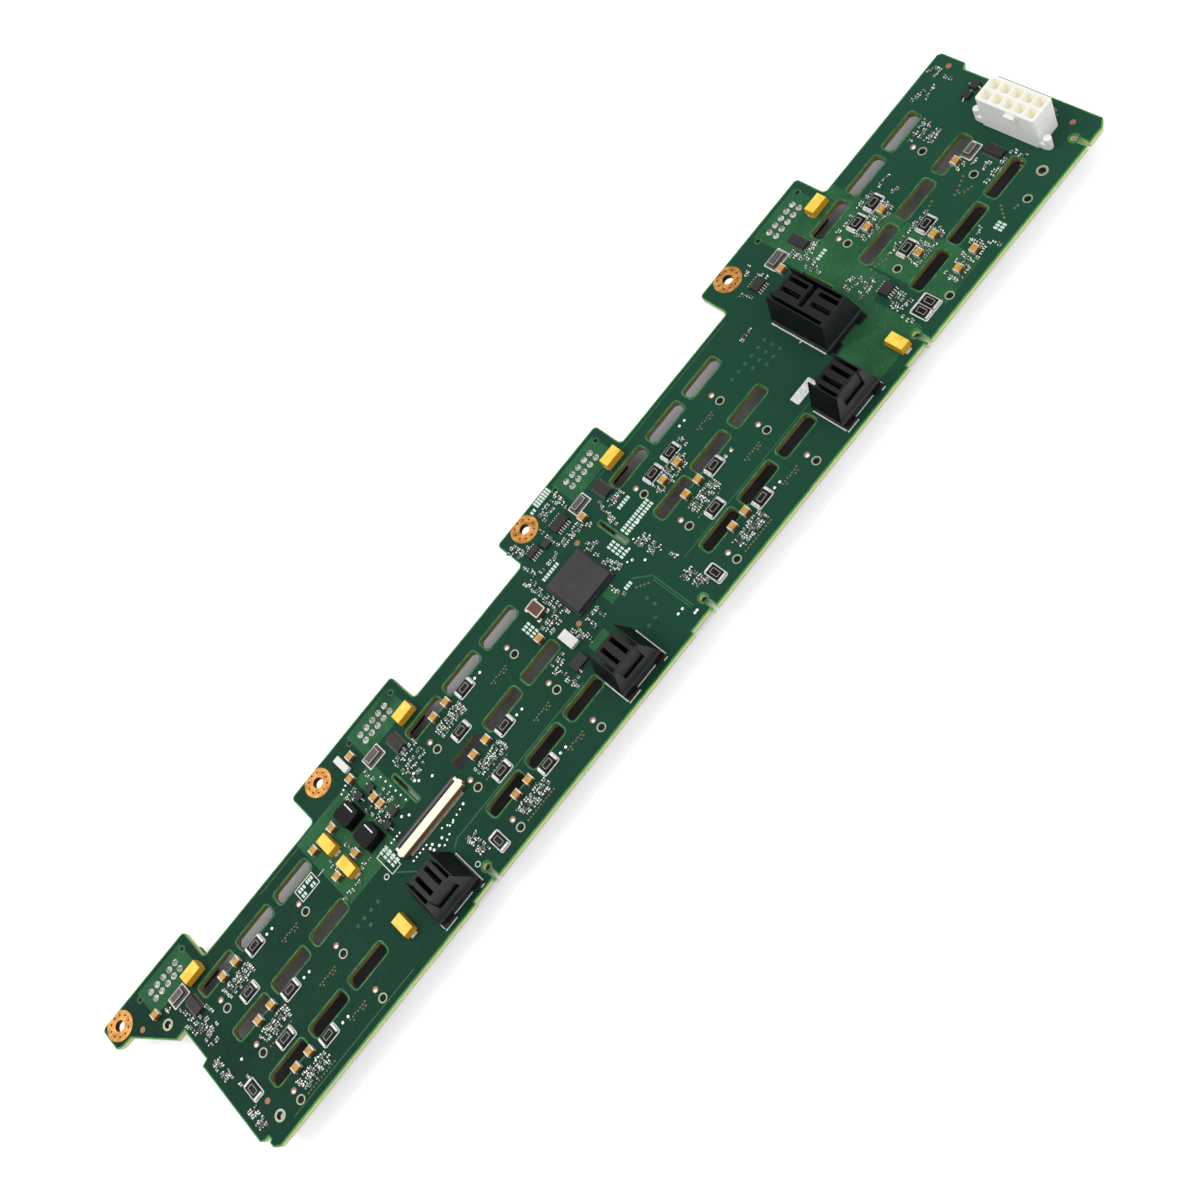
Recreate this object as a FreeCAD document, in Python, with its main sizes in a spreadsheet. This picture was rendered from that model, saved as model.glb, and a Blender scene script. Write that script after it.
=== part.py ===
"""Drive backplane board: a long routed circuit board with four tabs, drive receptacles and tab headers
on its underside, and cable connectors, a power header and soldered parts on its top.

X runs along the board, +Y points to the tabs and +Z away from the drives. The part stands on the mouths of
its underside connectors, at z = 0, and the origin is below the middle of the board. Millimetres.
"""
import FreeCAD, Part
import math
import os
import Sketcher
from FreeCAD import Placement, Rotation, Vector

doc = FreeCAD.newDocument("drive_backplane_board")
nodes = []


# A length that knows its formula

class Size:
    """A length with its number and its formula on the sheet, so that sums of sizes stay tied to the sheet."""

    def __init__(self, number, formula):
        self.number = number
        self.formula = formula

    def __add__(self, other):
        return Size(self.number + size(other).number, f"({self.formula} + {size(other).formula})")

    def __sub__(self, other):
        return Size(self.number - size(other).number, f"({self.formula} - {size(other).formula})")

    def __mul__(self, other):
        return Size(self.number * size(other).number, f"({self.formula} * {size(other).formula})")

    def __truediv__(self, other):
        return Size(self.number / size(other).number, f"({self.formula} / {size(other).formula})")

    def __neg__(self):
        return Size(0.0, "0") - self

    def __radd__(self, other):
        return size(other) + self

    def __rsub__(self, other):
        return size(other) - self

    def __rmul__(self, other):
        return size(other) * self


def size(value):
    """Return value as a Size; a plain number becomes a formula with no name in it."""
    return value if isinstance(value, Size) else Size(float(value), f"({float(value):.6g})")


class Sheet:
    """The driving dimensions: each is a cell with an alias, and an attribute of the same name."""

    def __init__(self, rows):
        sheet = doc.addObject("Spreadsheet::Sheet", "Dimensions")
        for row, (alias, number, meaning) in enumerate(rows, start=1):
            sheet.set(f"A{row}", meaning)
            sheet.set(f"B{row}", str(number))
            sheet.setAlias(f"B{row}", alias)
            setattr(self, alias, Size(float(number), f"Dimensions.{alias}"))


d = Sheet([
    ("column_pitch", 103.5, "from one column of drives to the next"),
    ("row_pitch", 20.7, "from one row of drives to the next"),
    ("end_spare", 4.7, "board length beyond four column pitches"),
    ("board_depth", 78.5, "bottom edge to the tops of the tabs"),
    ("board_thickness", 2.0, "glass-epoxy panel"),
    ("tab_height", 12.8, "how far the tabs stand above the long edge"),
    ("tab_width", 51.0, "width of a whole tab"),
    ("tab_shift", 2.4, "how much the tab pitch is longer than the column pitch"),
    ("edge_radius", 1.6, "rounding of the tab corners"),
    ("left_step", 21.2, "how far the left end is cut back below its tab"),
    ("left_step_y", 14.1, "height of that cut-back"),
    ("right_notch", 2.2, "depth of the notch in the right end"),
    ("vent_length", 15.4, "opening of a vent slot"),
    ("vent_width", 4.9, "opening of a vent slot"),
    ("vent_corner", 1.2, "corner of a vent slot"),
    ("vent_pitch", 18.6, "between the three vents of a column"),
    ("vent_row_y", 18.0, "centre of the first row of vents"),
    ("short_vent_web", 3.1, "part of one vent that stays closed beside the flat-cable connector"),
    ("keyhole_width", 1.3, "slit of an edge keyhole"),
    ("keyhole_bulb", 2.4, "round end of an edge keyhole"),
    ("keyhole_length", 5.3, "edge to the centre of the round end"),
    ("edge_relief", 1.0, "depth of the relief in the bottom edge beside a keyhole"),
    ("slit_width", 1.2, "long slit above a keyhole"),
    ("slit_length", 12.9, "long slit above a keyhole"),
    ("mount_hole", 3.6, "mounting hole in a tab"),
    ("mount_margin", 4.35, "mounting hole to the top of its tab"),
    ("tooling_hole", 2.4, "tooling hole"),
    ("stand_off", 9.0, "height of every connector on the underside"),
    ("peg_spacing", 38.4, "between the two pegs of a drive receptacle"),
    ("peg_hole", 2.2, "hole for a receptacle's peg"),
    ("peg_clearance", 0.15, "gap round a peg in its hole"),
    ("peg_row_y", 6.8, "first row of pegs"),
    ("drive_length", 43.0, "length of a drive receptacle"),
    ("drive_depth", 8.3, "depth of a drive receptacle's foot"),
    ("drive_flange", 1.6, "height of its foot"),
    ("peg_offset", 3.7, "pegs' line to the middle of the mating slot"),
    ("drive_mouth_length", 34.0, "length of its mating slot"),
    ("drive_mouth_width", 3.0, "width of its mating slot"),
    ("drive_mouth_depth", 5.6, "depth of its mating slot"),
    ("drive_wall", 1.3, "wall round the mating slot"),
    ("header_pitch", 3.0, "pin pitch of a tab header"),
    ("header_margin", 7.0, "pin rows' centre to the top of the tab"),
    ("header_length", 23.5, "length of a tab header"),
    ("header_depth", 12.2, "depth of a tab header"),
    ("header_wall", 1.5, "wall of a tab header's shroud"),
    ("header_floor", 1.2, "floor of a tab header's shroud"),
    ("header_pin", 0.7, "square pin of a tab header"),
    ("pin_clearance", 0.05, "gap round a pin in the board"),
    ("header_pin_reach", 3.4, "how far the pins stand out of the shroud's floor"),
    ("tail_length", 1.1, "pin tails above the board"),
    ("cable_width", 17.6, "width of a single cable connector"),
    ("cable_depth", 12.9, "depth of a single cable connector"),
    ("cable_height", 12.6, "height of the cable connectors"),
    ("cable_skirt", 2.8, "height of their foot"),
    ("cable_lean", 2.9, "how far a single connector's flank leans in at its top"),
    ("cable_bar", 6.7, "top of the bar across a single connector's front"),
    ("cable_margin", 3.8, "their front to the board's bottom edge"),
    ("guide_slot", 1.2, "width of a guide slot in a tower"),
    ("guide_wall", 0.4, "wall outside a guide slot, at the top"),
    ("island_width", 8.0, "contact block between the towers"),
    ("contact_slot", 1.6, "slot for the plug's blade"),
    ("contact_slot_length", 7.8, "slot for the plug's blade"),
    ("tongue_width", 2.4, "tongue between the two slots"),
    ("port_wall", 1.6, "front of a port's slots behind the top's front edge"),
    ("double_width", 16.6, "width of the double cable connector"),
    ("double_depth", 24.4, "depth of the double cable connector"),
    ("double_lean", 2.2, "how far its flanks lean in at the top"),
    ("port_shift", 0.9, "its ports to the right of its middle"),
    ("port_pitch", 12.4, "between the ports of the double connector"),
    ("connector_foot", 1.3, "height of the small feet in front of the cable connectors"),
    ("power_pitch", 4.25, "cell pitch of the power header"),
    ("power_length", 22.3, "length of the power header"),
    ("power_depth", 9.7, "depth of the power header"),
    ("power_height", 12.6, "height of the power header"),
    ("power_cell", 3.4, "opening of a cell"),
    ("power_floor", 3.0, "floor under the cells"),
    ("power_pin", 1.1, "square pin of the power header"),
    ("flat_length", 28.7, "length of the flat-cable connector between its end lobes"),
    ("flat_depth", 5.4, "depth of the flat-cable connector with its lock bar closed"),
    ("flat_height", 1.9, "height of the flat-cable connector"),
    ("flat_lobe", 0.6, "how far its end lobes stand out"),
    ("lock_bar_width", 1.65, "hinge line to the lock bar's free edge"),
    ("lock_bar_gap", 0.4, "cream housing to the lock bar's trunnion"),
    ("hinge_lift", 1.25, "hinge line above the board"),
    ("flat_pitch", 0.5, "contact pitch of the flat-cable connector"),
    ("hinge_radius", 0.3, "trunnion of the lock bar"),
    ("hinge_clearance", 0.06, "radial gap round a trunnion"),
    ("chip_side", 17.0, "controller chip"),
    ("chip_height", 2.0, "controller chip"),
    ("inductor_side", 7.3, "power inductor"),
    ("inductor_height", 4.0, "power inductor"),
    ("tantalum_length", 7.3, "tantalum capacitor"),
    ("tantalum_width", 4.3, "tantalum capacitor"),
    ("tantalum_height", 2.9, "tantalum capacitor"),
    ("lead_thickness", 0.25, "terminal strips and chip leads"),
    ("resistor_length", 6.3, "wide-body resistor"),
    ("resistor_width", 3.2, "wide-body resistor"),
    ("resistor_height", 0.8, "wide-body resistor"),
    ("ceramic_length", 2.8, "ceramic capacitor"),
    ("ceramic_width", 2.4, "ceramic capacitor"),
    ("ceramic_height", 1.6, "ceramic capacitor"),
])

COLUMNS = 4
ROWS = 3
VENTS_PER_COLUMN = 3
TABS = 4
HEADER_COLUMNS = 5
POWER_CELLS = 5
FLAT_CONTACTS = 50
PORT_CONTACTS = 9

board_length = COLUMNS * d.column_pitch + d.end_spare
left_end = -board_length / 2
right_end = board_length / 2
top_edge = d.board_depth / 2
bottom_edge = -d.board_depth / 2
long_edge = top_edge - d.tab_height
tab_pitch = d.column_pitch + d.tab_shift
board_top = d.stand_off + d.board_thickness


def column(number):
    """The middle vent of a column of drives."""
    return left_end + 59.25 + number * d.column_pitch


def tab(number):
    """The middle of a tab's header; the tabs are numbered from the left end."""
    return left_end + 26.3 + number * tab_pitch


def tab_right(number):
    """The right-hand edge of a tab."""
    return tab(number) + 14.5


def keyhole(number):
    """An edge keyhole; there is one for each of the first three columns, and one near the right end."""
    return column(number) + 64.9 if number < 3 else right_end - 9.75


# Ways to bind and place

def bind(thing, **lengths):
    """Tie properties of an object to the sheet."""
    for name, length in lengths.items():
        thing.setExpression(name, size(length).formula)


def put(thing, x, y, z, rotation=Rotation()):
    """Place an object at a point that is tied to the sheet."""
    thing.Placement = Placement(Vector(size(x).number, size(y).number, size(z).number), rotation)
    thing.setExpression("Placement.Base.x", size(x).formula)
    thing.setExpression("Placement.Base.y", size(y).formula)
    thing.setExpression("Placement.Base.z", size(z).formula)
    return thing


def node(thing, label):
    """Make an object a named piece of the part."""
    thing.Label = label
    nodes.append(thing)
    return thing


def box(name, x, y, z, length, width, height):
    """A block standing on z, with its middle at x and y."""
    block = doc.addObject("Part::Box", name)
    bind(block, Length=length, Width=width, Height=height)
    return put(block, size(x) - size(length) / 2, size(y) - size(width) / 2, z)


def tapered_box(name, x, y, z, length, width, height, draft):
    """A moulded block standing on z, whose four sides lean in by draft at its top."""
    block = doc.addObject("Part::Wedge", name)
    length, width, draft = size(length), size(width), size(draft)
    bind(block, Xmin=-length / 2, Xmax=length / 2, X2min=draft - length / 2, X2max=length / 2 - draft)
    bind(block, Zmin=-width / 2, Zmax=width / 2, Z2min=draft - width / 2, Z2max=width / 2 - draft)
    bind(block, Ymin=0, Ymax=height)
    return put(block, x, y, z, Rotation(Vector(1, 0, 0), 90))


def group(label, pieces):
    """Like pieces that share one node as separate solids."""
    compound = doc.addObject("Part::Compound", label)
    compound.Links = pieces
    return node(compound, label)


def sketch(body, name, lift, plane):
    """An empty sketch on one of a body's own planes, lifted along the plane's normal."""
    profile = body.newObject("Sketcher::SketchObject", name)
    support = next(item for item in body.Origin.OriginFeatures if item.Role == plane)
    profile.AttachmentSupport = [(support, "")]
    profile.MapMode = "FlatFace"
    profile.AttachmentOffset = Placement(Vector(0, 0, size(lift).number), Rotation())
    profile.setExpression("AttachmentOffset.Base.z", size(lift).formula)
    return profile


def fix_point(profile, geometry, position, x, y):
    """Hold a point of a sketch at two bound distances from the sketch's origin."""
    for kind, distance in (("DistanceX", size(x)), ("DistanceY", size(y))):
        rule = Sketcher.Constraint(kind, -1, 1, geometry, position, distance.number)
        number = profile.addConstraint(rule)
        profile.setExpression(f"Constraints[{number}]", distance.formula)


def polygons(body, name, outlines, lift=0, plane="XY_Plane"):
    """A sketch of closed outlines; every corner is fixed by two bound distances."""
    profile = sketch(body, name, lift, plane)
    for corners in outlines:
        points = [Vector(size(x).number, size(y).number, 0) for x, y in corners]
        first = profile.GeometryCount
        for here, there in zip(points, points[1:] + points[:1]):
            profile.addGeometry(Part.LineSegment(here, there))
        for index, (x, y) in enumerate(corners):
            following = (index + 1) % len(corners)
            profile.addConstraint(Sketcher.Constraint("Coincident", first + index, 2, first + following, 1))
            fix_point(profile, first + index, 1, x, y)
    return profile


def circles(body, name, holes, lift=0):
    """A sketch of circles, each given as centre x, centre y and diameter."""
    profile = sketch(body, name, lift, "XY_Plane")
    for x, y, diameter in holes:
        centre = Vector(size(x).number, size(y).number, 0)
        ring = profile.addGeometry(Part.Circle(centre, Vector(0, 0, 1), size(diameter).number / 2))
        number = profile.addConstraint(Sketcher.Constraint("Diameter", ring, size(diameter).number))
        profile.setExpression(f"Constraints[{number}]", size(diameter).formula)
        fix_point(profile, ring, 3, x, y)
    return profile


def rectangle(x, y, length, width):
    """Corners of a rectangle with its middle at x and y."""
    x, y, length, width = size(x), size(y), size(length), size(width)
    west, east, south, north = x - length / 2, x + length / 2, y - width / 2, y + width / 2
    return [(west, south), (east, south), (east, north), (west, north)]


def clipped_rectangle(x, y, length, width, clip):
    """A rectangle whose four corners are cut off at 45 degrees."""
    x, y, length, width, clip = size(x), size(y), size(length), size(width), size(clip)
    west, east, south, north = x - length / 2, x + length / 2, y - width / 2, y + width / 2
    return [(west + clip, south), (east - clip, south), (east, south + clip), (east, north - clip),
            (east - clip, north), (west + clip, north), (west, north - clip), (west, south + clip)]


def many_sided(x, y, diameter, sides=12):
    """Corners of a regular polygon drawn for a small round peg or hole that repeats."""
    steps = [2 * math.pi * (step + 0.5) / sides for step in range(sides)]
    return [(x + diameter / 2 * math.cos(turn), y + diameter / 2 * math.sin(turn)) for turn in steps]


def pad(body, profile, length, symmetric=False):
    """Add material along the sketch's normal."""
    feature = body.newObject("PartDesign::Pad", profile.Name + "_pad")
    feature.Profile = profile
    feature.SideType = "Symmetric" if symmetric else "One side"
    bind(feature, Length=length)
    return feature


def pocket(body, profile, depth=None, along_normal=False, symmetric=False):
    """Take material away from the sketch's plane, through everything when no depth is given."""
    feature = body.newObject("PartDesign::Pocket", profile.Name + "_pocket")
    feature.Profile = profile
    feature.Reversed = along_normal
    feature.SideType = "Symmetric" if symmetric else "One side"
    if depth is None:
        feature.Type = "ThroughAll"
    else:
        bind(feature, Length=depth)
    return feature


def repeat(body, feature, *directions):
    """Repeat a feature along the axes of its sketch: each direction is (axis, count, pitch)."""
    pattern = body.newObject("PartDesign::MultiTransform", feature.Name + "_pattern")
    pattern.Originals = [feature]
    steps = []
    for axis, count, pitch in directions:
        step = doc.addObject("PartDesign::LinearPattern", f"{feature.Name}_along_{axis}")
        step.Direction = (feature.Profile[0], [axis])
        step.Mode = "Spacing"
        step.Occurrences = count
        step.Reversed = size(pitch).number < 0
        bind(step, Offset=-size(pitch) if size(pitch).number < 0 else pitch)
        steps.append(step)
    pattern.Transformations = steps
    body.Tip = pattern
    return pattern


# Circuit board

def board_outline():
    """Corners of the panel, anticlockwise from the bottom left."""
    foot = left_end + d.left_step + 1.7
    corners = [(foot, bottom_edge)]
    for number in range(3):
        slit = keyhole(number)
        corners += [(slit - 10.2, bottom_edge), (slit - 10.0, bottom_edge + d.edge_relief),
                    (slit - 1.6, bottom_edge + d.edge_relief), (slit - 1.4, bottom_edge)]
    corners += [(right_end - 2.9, bottom_edge), (right_end, bottom_edge + 1.9), (right_end, 2.0),
                (right_end - d.right_notch, 3.0), (right_end - d.right_notch, 14.4), (right_end, 15.8),
                (right_end, long_edge - 1.2), (right_end - 1.2, long_edge)]
    for number in (3, 2, 1):
        right = tab_right(number)
        left = right - d.tab_width
        corners += [(right, long_edge), (right, top_edge), (left, top_edge), (left, long_edge)]
    step = left_end + d.left_step
    corners += [(tab_right(0), long_edge), (tab_right(0), top_edge), (left_end, top_edge),
                (left_end, top_edge - 9.2), (left_end + 1.8, top_edge - 10.4),
                (left_end + 6.0, top_edge - 10.7), (left_end + 17.3, d.left_step_y),
                (step, d.left_step_y), (step, d.left_step_y - 13.2), (step - 2.4, d.left_step_y - 13.8),
                (step - 2.5, bottom_edge + 6.4), (step - 1.2, bottom_edge + 5.4),
                (step + 0.6, bottom_edge + 5.2), (step + 0.6, bottom_edge + 4.1),
                (step - 0.3, bottom_edge + 3.7), (step - 0.3, bottom_edge + 1.7)]
    return corners


def round_tab_corners(body, panel):
    """Round the corners of the tabs, outside and inside, as the router leaves them."""
    places = []
    for number in range(TABS):
        right = tab_right(number)
        left = left_end if number == 0 else right - d.tab_width
        places += [(right, long_edge), (right, top_edge), (left, top_edge)]
        if number > 0:
            places.append((left, long_edge))
    spots = [(x.number, y.number) for x, y in places]
    names = []
    for index, edge in enumerate(panel.Shape.Edges, start=1):
        low, high = edge.Vertexes[0].Point, edge.Vertexes[-1].Point
        upright = abs(low.z - high.z) > 0.5
        if upright and any(abs(low.x - x) + abs(low.y - y) < 0.01 for x, y in spots):
            names.append(f"Edge{index}")
    rounding = body.newObject("PartDesign::Fillet", "tab_corners")
    rounding.Base = (panel, names)
    bind(rounding, Radius=d.edge_radius)


def make_circuit_board():
    """The panel with its vents, slits, keyholes, mounting, tooling, peg and pin holes."""
    body = doc.addObject("PartDesign::Body", "circuit_board")
    panel = pad(body, polygons(body, "outline", [board_outline()]), d.board_thickness)
    doc.recompute()
    round_tab_corners(body, panel)

    vent = clipped_rectangle(column(0) - d.vent_pitch, d.vent_row_y, d.vent_length, d.vent_width, d.vent_corner)
    vents = pocket(body, polygons(body, "vent", [vent]), along_normal=True)
    repeat(body, vents, ("H_Axis", VENTS_PER_COLUMN, d.vent_pitch), ("H_Axis", COLUMNS, d.column_pitch),
           ("V_Axis", ROWS, -d.row_pitch))
    closed_end = column(1) - d.vent_pitch - d.vent_length / 2 + d.short_vent_web / 2
    web = rectangle(closed_end - 0.2, d.vent_row_y - d.row_pitch, d.short_vent_web + 0.4, d.vent_width + 0.4)
    pad(body, polygons(body, "short_vent_web", [web]), d.board_thickness)

    peg_hole = many_sided(column(0) - 23.0, d.peg_row_y, d.peg_hole)
    peg_holes = pocket(body, polygons(body, "peg_hole", [peg_hole]), along_normal=True)
    repeat(body, peg_holes, ("H_Axis", 2, d.peg_spacing), ("H_Axis", COLUMNS, d.column_pitch),
           ("V_Axis", ROWS, -d.row_pitch))

    rounds = [(left_end + 5.45, top_edge - d.mount_margin, d.mount_hole)]
    rounds += [(tab(number) - 26.7, top_edge - d.mount_margin, d.mount_hole) for number in (1, 2, 3)]
    rounds += [(left_end + 18.1, 20.5, d.tooling_hole), (left_end + 28.4, bottom_edge + 6.75, d.tooling_hole),
               (right_end - 23.4, bottom_edge + 6.85, d.tooling_hole)]
    pocket(body, circles(body, "round_hole", rounds), along_normal=True)

    bulb_y = bottom_edge + d.keyhole_length
    bulbs = [(keyhole(number), bulb_y, d.keyhole_bulb) for number in range(4)]
    pocket(body, circles(body, "keyhole_bulb", bulbs), along_normal=True)
    slit_top = d.vent_row_y - 4.7
    slits = [rectangle(keyhole(number), bulb_y - d.keyhole_length / 2 - 0.25, d.keyhole_width,
                       d.keyhole_length + 0.5) for number in range(4)]
    slits += [rectangle(keyhole(number), slit_top - d.slit_length / 2, d.slit_width, d.slit_length)
              for number in range(3)]
    pocket(body, polygons(body, "slit", slits), along_normal=True)

    pin_hole = rectangle(tab(0) - 2 * d.header_pitch, top_edge - d.header_margin - d.header_pitch / 2,
                         d.header_pin + 2 * d.pin_clearance, d.header_pin + 2 * d.pin_clearance)
    pin_holes = pocket(body, polygons(body, "header_pin_hole", [pin_hole]), along_normal=True)
    repeat(body, pin_holes, ("H_Axis", HEADER_COLUMNS, d.header_pitch), ("H_Axis", TABS, tab_pitch),
           ("V_Axis", 2, d.header_pitch))

    side = d.power_pin + 2 * d.pin_clearance
    power_hole = rectangle(power_x - d.power_pitch / 2, power_y - 2 * d.power_pitch, side, side)
    power_holes = pocket(body, polygons(body, "power_pin_hole", [power_hole]), along_normal=True)
    repeat(body, power_holes, ("H_Axis", 2, d.power_pitch), ("V_Axis", POWER_CELLS, d.power_pitch))
    put(body, 0, 0, d.stand_off)
    node(body, "circuit_board")


# Drive receptacles under the board

def make_drive_connector(row, place):
    """A receptacle with a keyed mating slot open downwards, two guide ends and two pegs into the board."""
    label = f"drive_connector_r{row + 1}c{place + 1}"
    body = doc.addObject("PartDesign::Body", label)
    foot = rectangle(0, d.drive_depth / 2 - d.peg_offset - 1.7, d.drive_length, d.drive_depth)
    foot_height = d.stand_off - d.drive_flange
    pad(body, polygons(body, label + "_foot", [foot], foot_height), d.drive_flange)
    nose_depth = d.drive_mouth_width + 2 * d.drive_wall
    nose = rectangle(0, 0, d.drive_mouth_length + 2 * d.drive_wall, nose_depth)
    pad(body, polygons(body, label + "_nose", [nose]), foot_height)
    guide_length = (d.drive_length - d.drive_mouth_length) / 2 - d.drive_wall + 0.2
    guide_x = d.drive_length / 2 - guide_length / 2
    guides = [clipped_rectangle(side * guide_x, 0, guide_length, nose_depth + 0.8, 0.8) for side in (-1, 1)]
    pad(body, polygons(body, label + "_guides", guides, 1.0), foot_height - 1.0)
    west, east = -d.drive_mouth_length / 2, d.drive_mouth_length / 2
    south, north = -d.drive_mouth_width / 2, d.drive_mouth_width / 2
    key = west + 10.0
    mouth = [(west, south + 1.0), (key, south + 1.0), (key, south), (east, south), (east, north), (west, north)]
    pocket(body, polygons(body, label + "_mouth", [mouth]), d.drive_mouth_depth, along_normal=True)
    peg = d.peg_hole - 2 * d.peg_clearance
    pegs = [clipped_rectangle(side * d.peg_spacing / 2, -d.peg_offset, peg, peg, 0.293 * peg)
            for side in (-1, 1)]
    pad(body, polygons(body, label + "_pegs", pegs, d.stand_off), d.board_thickness - 0.3)
    x = column(place) - 23.0 + d.peg_spacing / 2
    put(body, x, d.peg_row_y - row * d.row_pitch + d.peg_offset, 0)
    node(body, label)


# Tab headers under the board

def make_tab_header(number):
    """A shrouded two-row header that hangs under a tab, open downwards, with a polarising notch."""
    label = f"tab_header_{number + 1}"
    body = doc.addObject("PartDesign::Body", label)
    shell = clipped_rectangle(0, 0, d.header_length, d.header_depth, 0.8)
    pad(body, polygons(body, label + "_shell", [shell]), d.stand_off)
    cavity = rectangle(0, 0, d.header_length - 2 * d.header_wall, d.header_depth - 2 * d.header_wall)
    depth = d.stand_off - d.header_floor
    pocket(body, polygons(body, label + "_cavity", [cavity]), depth, along_normal=True)
    notch = rectangle(0, -d.header_depth / 2, 4.6, 2 * d.header_wall + 1.0)
    pocket(body, polygons(body, label + "_notch", [notch]), depth - 3.0, along_normal=True)
    side = d.header_pin + 2 * d.pin_clearance
    hole = rectangle(-2 * d.header_pitch, -d.header_pitch / 2, side, side)
    holes = pocket(body, polygons(body, label + "_pin_hole", [hole]), along_normal=True)
    repeat(body, holes, ("H_Axis", HEADER_COLUMNS, d.header_pitch), ("V_Axis", 2, d.header_pitch))
    put(body, tab(number), top_edge - d.header_margin, 0)
    node(body, label)


def make_tab_header_pins():
    """Square pins from inside each shroud, through its floor and the board."""
    low = d.stand_off - d.header_floor - d.header_pin_reach
    pins = []
    for number in range(TABS):
        for step in range(HEADER_COLUMNS):
            for side in (-1, 1):
                x = tab(number) + (step - 2) * d.header_pitch
                y = top_edge - d.header_margin + side * d.header_pitch / 2
                name = f"tab_pin_{number}_{step}_{side + 1}"
                pins.append(box(name, x, y, low, d.header_pin, d.header_pin, board_top + d.tail_length - low))
    group("tab_header_pins", pins)


# Cable connectors on the board

def cable_profile(depth, front_top):
    """Side view: a foot, a front that leans back a little, a flat top and an upright back."""
    return [(size(0), size(0)), (depth, size(0)), (depth, d.cable_height), (size(front_top), d.cable_height),
            (size(0.4), d.cable_skirt), (size(0), d.cable_skirt - 0.6)]


def cut_flanks(body, label, width, lean):
    """Lean both flanks inwards above the foot."""
    half = width / 2
    flanks = [[(side * (half + 1.0), d.cable_skirt), (side * half, d.cable_skirt),
               (side * (half - lean), d.cable_height), (side * (half + 1.0), d.cable_height)]
              for side in (-1, 1)]
    pocket(body, polygons(body, label + "_flank", flanks, 1.0, "XZ_Plane"))


def cut_guides(body, label, width, lean, depth):
    """Cut a guide slot down each side, from behind the front wall out to the back."""
    place = width / 2 - lean - d.guide_wall - d.guide_slot / 2
    guides = [rectangle(side * place, (depth + 3.0) / 2, d.guide_slot, depth - 1.0) for side in (-1, 1)]
    pocket(body, polygons(body, label + "_guide", guides, d.cable_height), d.cable_height - 4.0)


def cut_port(body, label, middle, front):
    """Cut one port: two slots beside a tongue, from the top down."""
    offset = (d.tongue_width + d.contact_slot) / 2
    slots = [rectangle(middle + side * offset, front + d.contact_slot_length / 2, d.contact_slot,
                       d.contact_slot_length) for side in (-1, 1)]
    pocket(body, polygons(body, label + "_slots", slots, d.cable_height), d.cable_height - 3.4)


def add_feet(body, label, width):
    """Two small feet that stand out in front of the housing, at its corners."""
    feet = [rectangle(-width / 2 + 2.3, -0.4, 4.6, 2.0), rectangle(width / 2 - 1.8, -0.4, 3.6, 2.0)]
    pad(body, polygons(body, label + "_feet", feet), d.connector_foot)


def make_cable_connector(number):
    """A single cable connector: two leaning guide towers, a contact block between them, a bar in front."""
    label = f"cable_connector_{number + 1}"
    body = doc.addObject("PartDesign::Body", label)
    width, depth = d.cable_width, d.cable_depth
    pad(body, polygons(body, label + "_side", [cable_profile(depth, 1.0)], 0, "YZ_Plane"), width, True)
    cut_flanks(body, label, width, d.cable_lean)
    inside = d.island_width + 0.8
    window = rectangle(0, (d.cable_bar + d.cable_height + 1.0) / 2, inside, d.cable_height + 1.0 - d.cable_bar)
    pocket(body, polygons(body, label + "_front", [window], 1.0, "XZ_Plane"), 2.7)
    trench = rectangle(0, 1.7, inside, 1.0)
    pocket(body, polygons(body, label + "_trench", [trench], d.cable_bar), d.cable_bar - 3.2)
    behind = rectangle(0, depth, inside, 2.8)
    pocket(body, polygons(body, label + "_behind", [behind], d.cable_height), d.cable_height - 1.6)
    cut_guides(body, label, width, d.cable_lean, depth)
    cut_port(body, label, size(0), 1.0 + d.port_wall)
    add_feet(body, label, width)
    put(body, cable_x(number), cable_front, board_top)
    node(body, label)


def make_double_cable_connector():
    """Two ports one behind the other in one housing, with a trench between them."""
    label = "double_cable_connector"
    body = doc.addObject("PartDesign::Body", label)
    width, depth, inside = d.double_width, d.double_depth, d.island_width + 0.8
    pad(body, polygons(body, label + "_side", [cable_profile(depth, 0.5)], 0, "YZ_Plane"), width, True)
    cut_flanks(body, label, width, d.double_lean)
    behind = rectangle(d.port_shift, depth, inside, 3.2)
    pocket(body, polygons(body, label + "_behind", [behind], d.cable_height), d.cable_height - 1.6)
    trench = rectangle(d.port_shift, d.port_wall + d.port_pitch - 1.9, inside, 2.0)
    pocket(body, polygons(body, label + "_trench", [trench], d.cable_height), d.cable_height - 4.0)
    cut_guides(body, label, width, d.double_lean, depth)
    cut_port(body, label + "_front", d.port_shift, d.port_wall)
    cut_port(body, label + "_rear", d.port_shift, d.port_wall + d.port_pitch)
    add_feet(body, label, width)
    put(body, double_x, double_front, board_top)
    node(body, label)


def make_cable_contacts():
    """Contact tails that lie on the board behind each cable connector."""
    pitch = 0.8
    tails = []
    places = [(cable_x(number), cable_front + d.cable_depth) for number in range(3)]
    places.append((double_x, double_front + d.double_depth))
    for port, (x, back) in enumerate(places):
        for step in range(PORT_CONTACTS):
            name = f"tail_{port}_{step}"
            tails.append(box(name, x + (step - 4) * pitch, back + 1.0, board_top, 0.4, 2.0, 0.3))
    group("cable_connector_contacts", tails)


# Power header

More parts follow.
